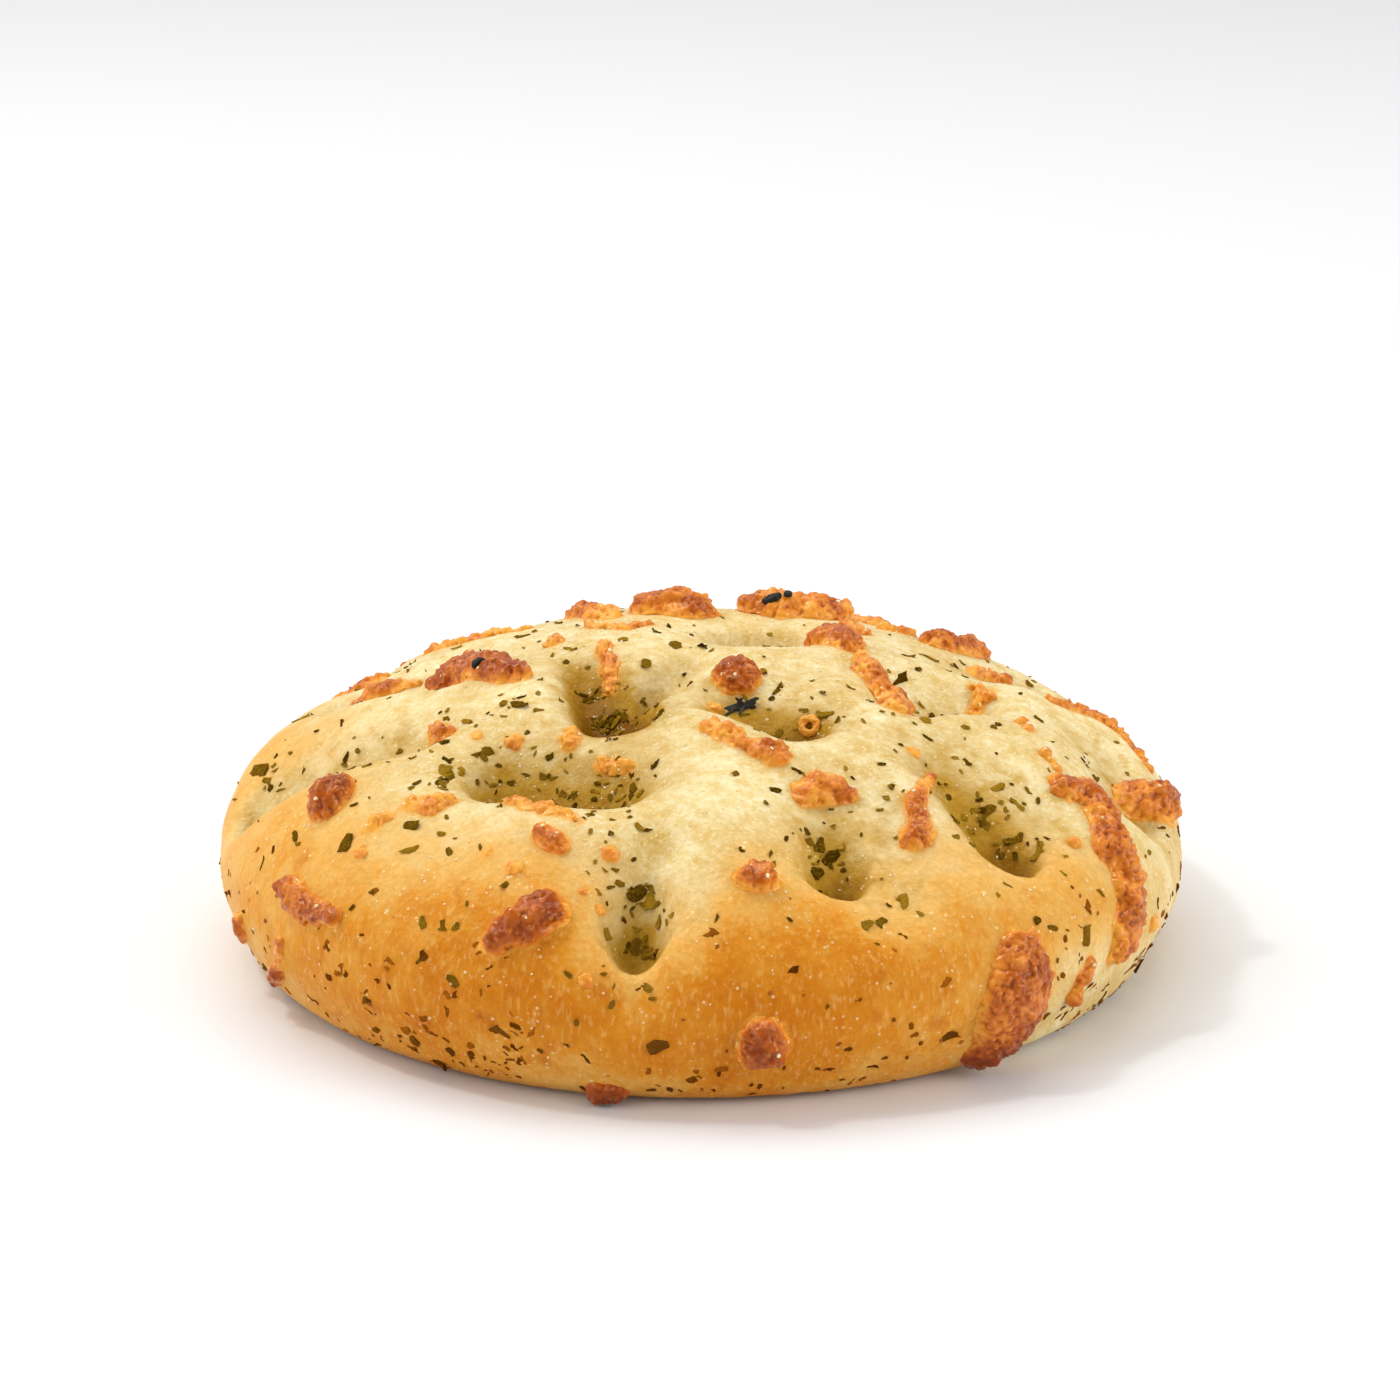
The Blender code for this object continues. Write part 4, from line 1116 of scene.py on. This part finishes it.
# %% Cheese film, pale dots, grain, gloss and pores
filmed = plus(tree, kept(tree, "film"), both_ways(tree, fine, 0.9))
side = coat(tree, side, FILM_ORANGE, filmed, 0.25, 0.85, 0.7)
dots = add(tree, "TexVoronoi", None, Vector=where, Scale=1.0 / DOT_SPACING).outputs["Distance"]
dotted = times(tree, between(tree, dots, 0.10, 0.24, 0.6, 0.0), between(tree, patchy, 0.48, 0.62))
side = mix_colours(tree, dotted, side, DOT)
for pattern, dimmer in ((fine, (0.93, 0.87, 0.72)), (streaks, (0.93, 0.86, 0.70))):
    side = mix_colours(tree, 1.0, side, coat(tree, dimmer, WHITE, pattern, 0.35, 0.65), "MULTIPLY")
tree.links.new(side, shader.inputs["Base Color"])
dullness = calculate(tree, "SUBTRACT", between(tree, fine, 0.3, 0.7, 0.38, 0.55), times(tree, oil_and_pit_shade, 0.12))
tree.links.new(dullness, shader.inputs["Roughness"])
pores = add(tree, "TexVoronoi", {"feature": "SMOOTH_F1"}, Vector=where, Scale=1.0 / PORE_SIZE)
skin = plus(tree, fine, plus(tree, threads, flecks))
skin = plus(tree, times(tree, pores.outputs["Distance"], 0.5), skin)
add_bump(tree, shader, skin, 0.5, PORE_DEPTH)
print("crust:", len(tree.nodes), "nodes")

# %% [markdown]
# ## The cheese
# Colour follows one number, the heat that each place took. It comes from the kept numbers: how high
# the place rises from the dough and how browned its piece is, with a difference from blister to
# blister, and more of it near the tray. Little heat leaves thin orange cheese, more turns it red and
# then dark brown. The creases between blisters get painted shade and the blister tips a lighter
# painted highlight, both from the kept relief. It is oily, so it is glossier than the crust.
# %% Cheese material
EDGE, ORANGE = (0.82, 0.37, 0.045), (0.68, 0.21, 0.020)
RUST, DARK = (0.43, 0.086, 0.004), (0.21, 0.026, 0.001)
# painted shade for the creases between blisters, and a painted highlight for the blister tips
PAINTED_SEAM_SHADE, PAINTED_TIP_HIGHLIGHT = (0.56, 0.12, 0.006), (0.80, 0.37, 0.09)
PATCH_SIZE, FINE_SIZE, POOL_SIZE = 2.4 * MM, 0.45 * MM, 5.0 * MM
RISES_FROM, RISES_TO = 0.2, 2.6  # mm above the crust
TRAY_FROM, TRAY_TO = 8 * MM, 2 * MM  # the tray heats what lies this low

cheese_finish, tree, shader = start_material(
    "cheese_finish", 0.3, Subsurface_Weight=0.1, Subsurface_Radius=(1.0, 0.35, 0.08),
    Subsurface_Scale=0.001, Specular_IOR_Level=0.45, Specular_Tint=(1.0, 0.75, 0.5, 1.0),
)
where = add(tree, "TexCoord").outputs["Object"]
patchy = speckle(tree, where, PATCH_SIZE, 3.0)
fine = speckle(tree, where, FINE_SIZE, 3.0)
pooled = speckle(tree, where, POOL_SIZE, 1.0)
low = add(tree, "SeparateXYZ", None, Vector=where).outputs["Z"]
rise = between(tree, kept(tree, "rise"), RISES_FROM, RISES_TO, 0.0, 1.15)
heat = times(tree, plus(tree, rise, 0.1), kept(tree, "browning"))
for extra in (
    both_ways(tree, kept(tree, "tint"), 0.35),
    both_ways(tree, patchy),
    between(tree, pooled, 0.3, 0.7, -0.4, 0.3),
    between(tree, low, TRAY_FROM, TRAY_TO, 0.0, 1.2),
):
    heat = plus(tree, heat, extra)
colour = coat(tree, EDGE, ORANGE, heat, -0.15, 0.4)
colour = coat(tree, colour, RUST, heat, 0.3, 0.95)
colour = coat(tree, colour, DARK, heat, 0.9, 1.7, 0.9)
seam_shade_colour = coat(tree, PAINTED_SEAM_SHADE, DARK, heat, 0.1, 0.7)
relief = kept(tree, "relief")
# painted shade in the creases, by the kept relief
colour = coat(tree, colour, seam_shade_colour, relief, 0.01, -0.11, 0.85)
# painted highlight on the blister tips, by the kept relief
colour = coat(tree, colour, PAINTED_TIP_HIGHLIGHT, relief, 0.05, 0.16, 0.35)
tree.links.new(colour, shader.inputs["Base Color"])
tree.links.new(between(tree, fine, 0.25, 0.75, 0.10, 0.24), shader.inputs["Roughness"])
add_bump(tree, shader, fine, 0.4, 0.12 * MM)
print("cheese:", len(tree.nodes), "nodes")

# %% [markdown]
# ## Herbs, specks, bits and grains
# Small things need little: a colour that changes from one copy to the next by the kept tint, a
# finer noise inside each, and some roughness. Herbs low on the flank are toasted brown.
# %% Small materials
TOASTED_FROM, TOASTED_TO = 24 * MM, 10 * MM


def small_material(name, dark, light, roughness, grain, toasted=None, **sockets):
    """A matte or oily finish between two colours, with a noise of that grain."""
    material, tree, shader = start_material(name, roughness, **sockets)
    where = add(tree, "TexCoord").outputs["Object"]
    fine = speckle(tree, where, grain, 3.0)
    share = plus(tree, times(tree, kept(tree, "tint"), 0.8), both_ways(tree, fine, 0.9), clamp=True)
    colour = mix_colours(tree, share, dark, light)
    if toasted:
        height = add(tree, "SeparateXYZ", None, Vector=where).outputs["Z"]
        colour = coat(tree, colour, toasted, height, TOASTED_FROM, TOASTED_TO, 0.75)
    tree.links.new(colour, shader.inputs["Base Color"])
    add_bump(tree, shader, fine, 0.4, 0.1 * MM)
    return material


DULL = {"Specular_IOR_Level": 0.0}
OILY = {"Subsurface_Weight": 0.2, "Subsurface_Scale": 0.001, "Specular_IOR_Level": 0.1}
herb_finish = small_material(
    "herb_finish", (0.055, 0.026, 0.001), (0.36, 0.20, 0.014), 0.6, 0.4 * MM,
    toasted=(0.12, 0.032, 0.005), **DULL
)
toasted_finish = small_material(
    "toasted_finish", (0.08, 0.022, 0.002), (0.38, 0.115, 0.008), 0.6, 0.5 * MM, **DULL
)
speck_finish = small_material(
    "speck_finish", (0.22, 0.045, 0.006), (0.60, 0.20, 0.02), 0.4, 0.5 * MM, **OILY
)
grain_finish = small_material(
    "grain_finish", (0.76, 0.54, 0.22), (0.92, 0.83, 0.60), 0.35, 0.4 * MM, **OILY
)
dark_finish = small_material(
    "dark_finish", (0.012, 0.012, 0.010), (0.09, 0.08, 0.06), 0.45, 0.5 * MM, Specular_IOR_Level=0.15
)
print("small materials made")

# %% [markdown]
# ## Dress the frame
# Each piece gets its material and rides on the bread, and where it replaces a fixed solid, that solid
# is hidden.
# %% Materials, bodies and replaced solids
def dress(piece, finish, node=None):
    """Gives a piece its material and says where it belongs."""
    piece.data.materials.clear()
    piece.data.materials.append(finish)
    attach(piece, "root")
    if node:
        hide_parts(node)


dress(dough, crust_finish, "bread")
for name, piece in cheese.items():
    dress(piece, cheese_finish, name)
for piece in (cheese_crumbs, cheese_ring):
    dress(piece, cheese_finish)
for piece, finish in (
    (herb_leaves, herb_finish),
    (herb_flakes, herb_finish),
    (toasted_flakes, toasted_finish),
    (toasted_specks, speck_finish),
    (pale_grains, grain_finish),
    (cheese_grains, grain_finish),
    (dark_curls, dark_finish),
    (charred_bits, dark_finish),
):
    dress(piece, finish)

# %% [markdown]
# ## Floor, light and camera
# The bread stands on a plain white floor. The light is that of a bright tent: white from all
# around, with one large soft lamp from the upper left, which leaves the left walls of the pits in
# shade, a small one beside it for the glints, a large one from above and behind, and white cards on
# both sides that throw light on the flanks. The camera looks down on the bread from the front.
# %% Floor and light
FLOOR_SIZE, FLOOR_GREY = 6.0, (0.80, 0.80, 0.80, 1.0)
# place and size in metres, and power in watts
LAMPS = {
    "key": ((-0.6, 0.3, 0.95), 0.7, 4.6),
    "glint": ((-0.5, 0.0, 0.95), 0.10, 1.8),
    "overhead": ((0.05, 0.45, 1.1), 0.9, 4.8),
    "right_card": ((0.9, -0.35, 0.35), 0.7, 5.6),
    "left_card": ((-0.9, -0.35, 0.35), 0.7, 3.2),
}
TENT_STRENGTH = 0.5

bpy.ops.object.select_all(action="DESELECT")
bpy.ops.mesh.primitive_plane_add(size=FLOOR_SIZE)
floor = bpy.context.object
floor.name = "floor"
floor_finish, tree, shader = start_material("floor_finish", 0.9, Specular_IOR_Level=0.1)
shader.inputs["Base Color"].default_value = FLOOR_GREY
floor.data.materials.append(floor_finish)

for name, (place, size, power) in LAMPS.items():
    bpy.ops.object.light_add(type="AREA", location=place)
    lamp = bpy.context.object
    lamp.name = name
    lamp.data.size, lamp.data.energy = size, power
    lamp.rotation_euler = (-Vector(place)).to_track_quat("-Z", "Y").to_euler()
world = bpy.data.worlds.new("tent")
bpy.context.scene.world = world
world.use_nodes = True
sky = world.node_tree.nodes["Background"]
sky.inputs["Color"].default_value = (*WHITE, 1.0)
sky.inputs["Strength"].default_value = TENT_STRENGTH
bpy.context.scene.view_settings.view_transform = "Standard"

# %% Camera
LOOK_DOWN = math.radians(20.0)
DISTANCE = 0.75  # metres from the camera to its aim
AIM = Vector((0.0, 0.0, 18.75 * MM))
FRAME_PIXELS, FOCAL_PIXELS, AIM_ROW = 1400, 4792, 819  # the aim is below the frame's middle
SENSOR = 36.0  # its width in mm

camera_data = bpy.data.cameras.new("camera")
camera = bpy.data.objects.new("camera", camera_data)
bpy.context.scene.collection.objects.link(camera)
camera_data.sensor_width = SENSOR
camera_data.lens = FOCAL_PIXELS / FRAME_PIXELS * SENSOR
camera_data.clip_start = 0.01
camera.location = AIM + Vector((0, -math.cos(LOOK_DOWN), math.sin(LOOK_DOWN))) * DISTANCE
pitch = LOOK_DOWN - math.atan((AIM_ROW - FRAME_PIXELS / 2) / FOCAL_PIXELS)
camera.rotation_euler = (math.radians(90) - pitch, 0, 0)
bpy.context.scene.camera = camera
print("camera:", camera.location, "lens", round(camera_data.lens, 1))
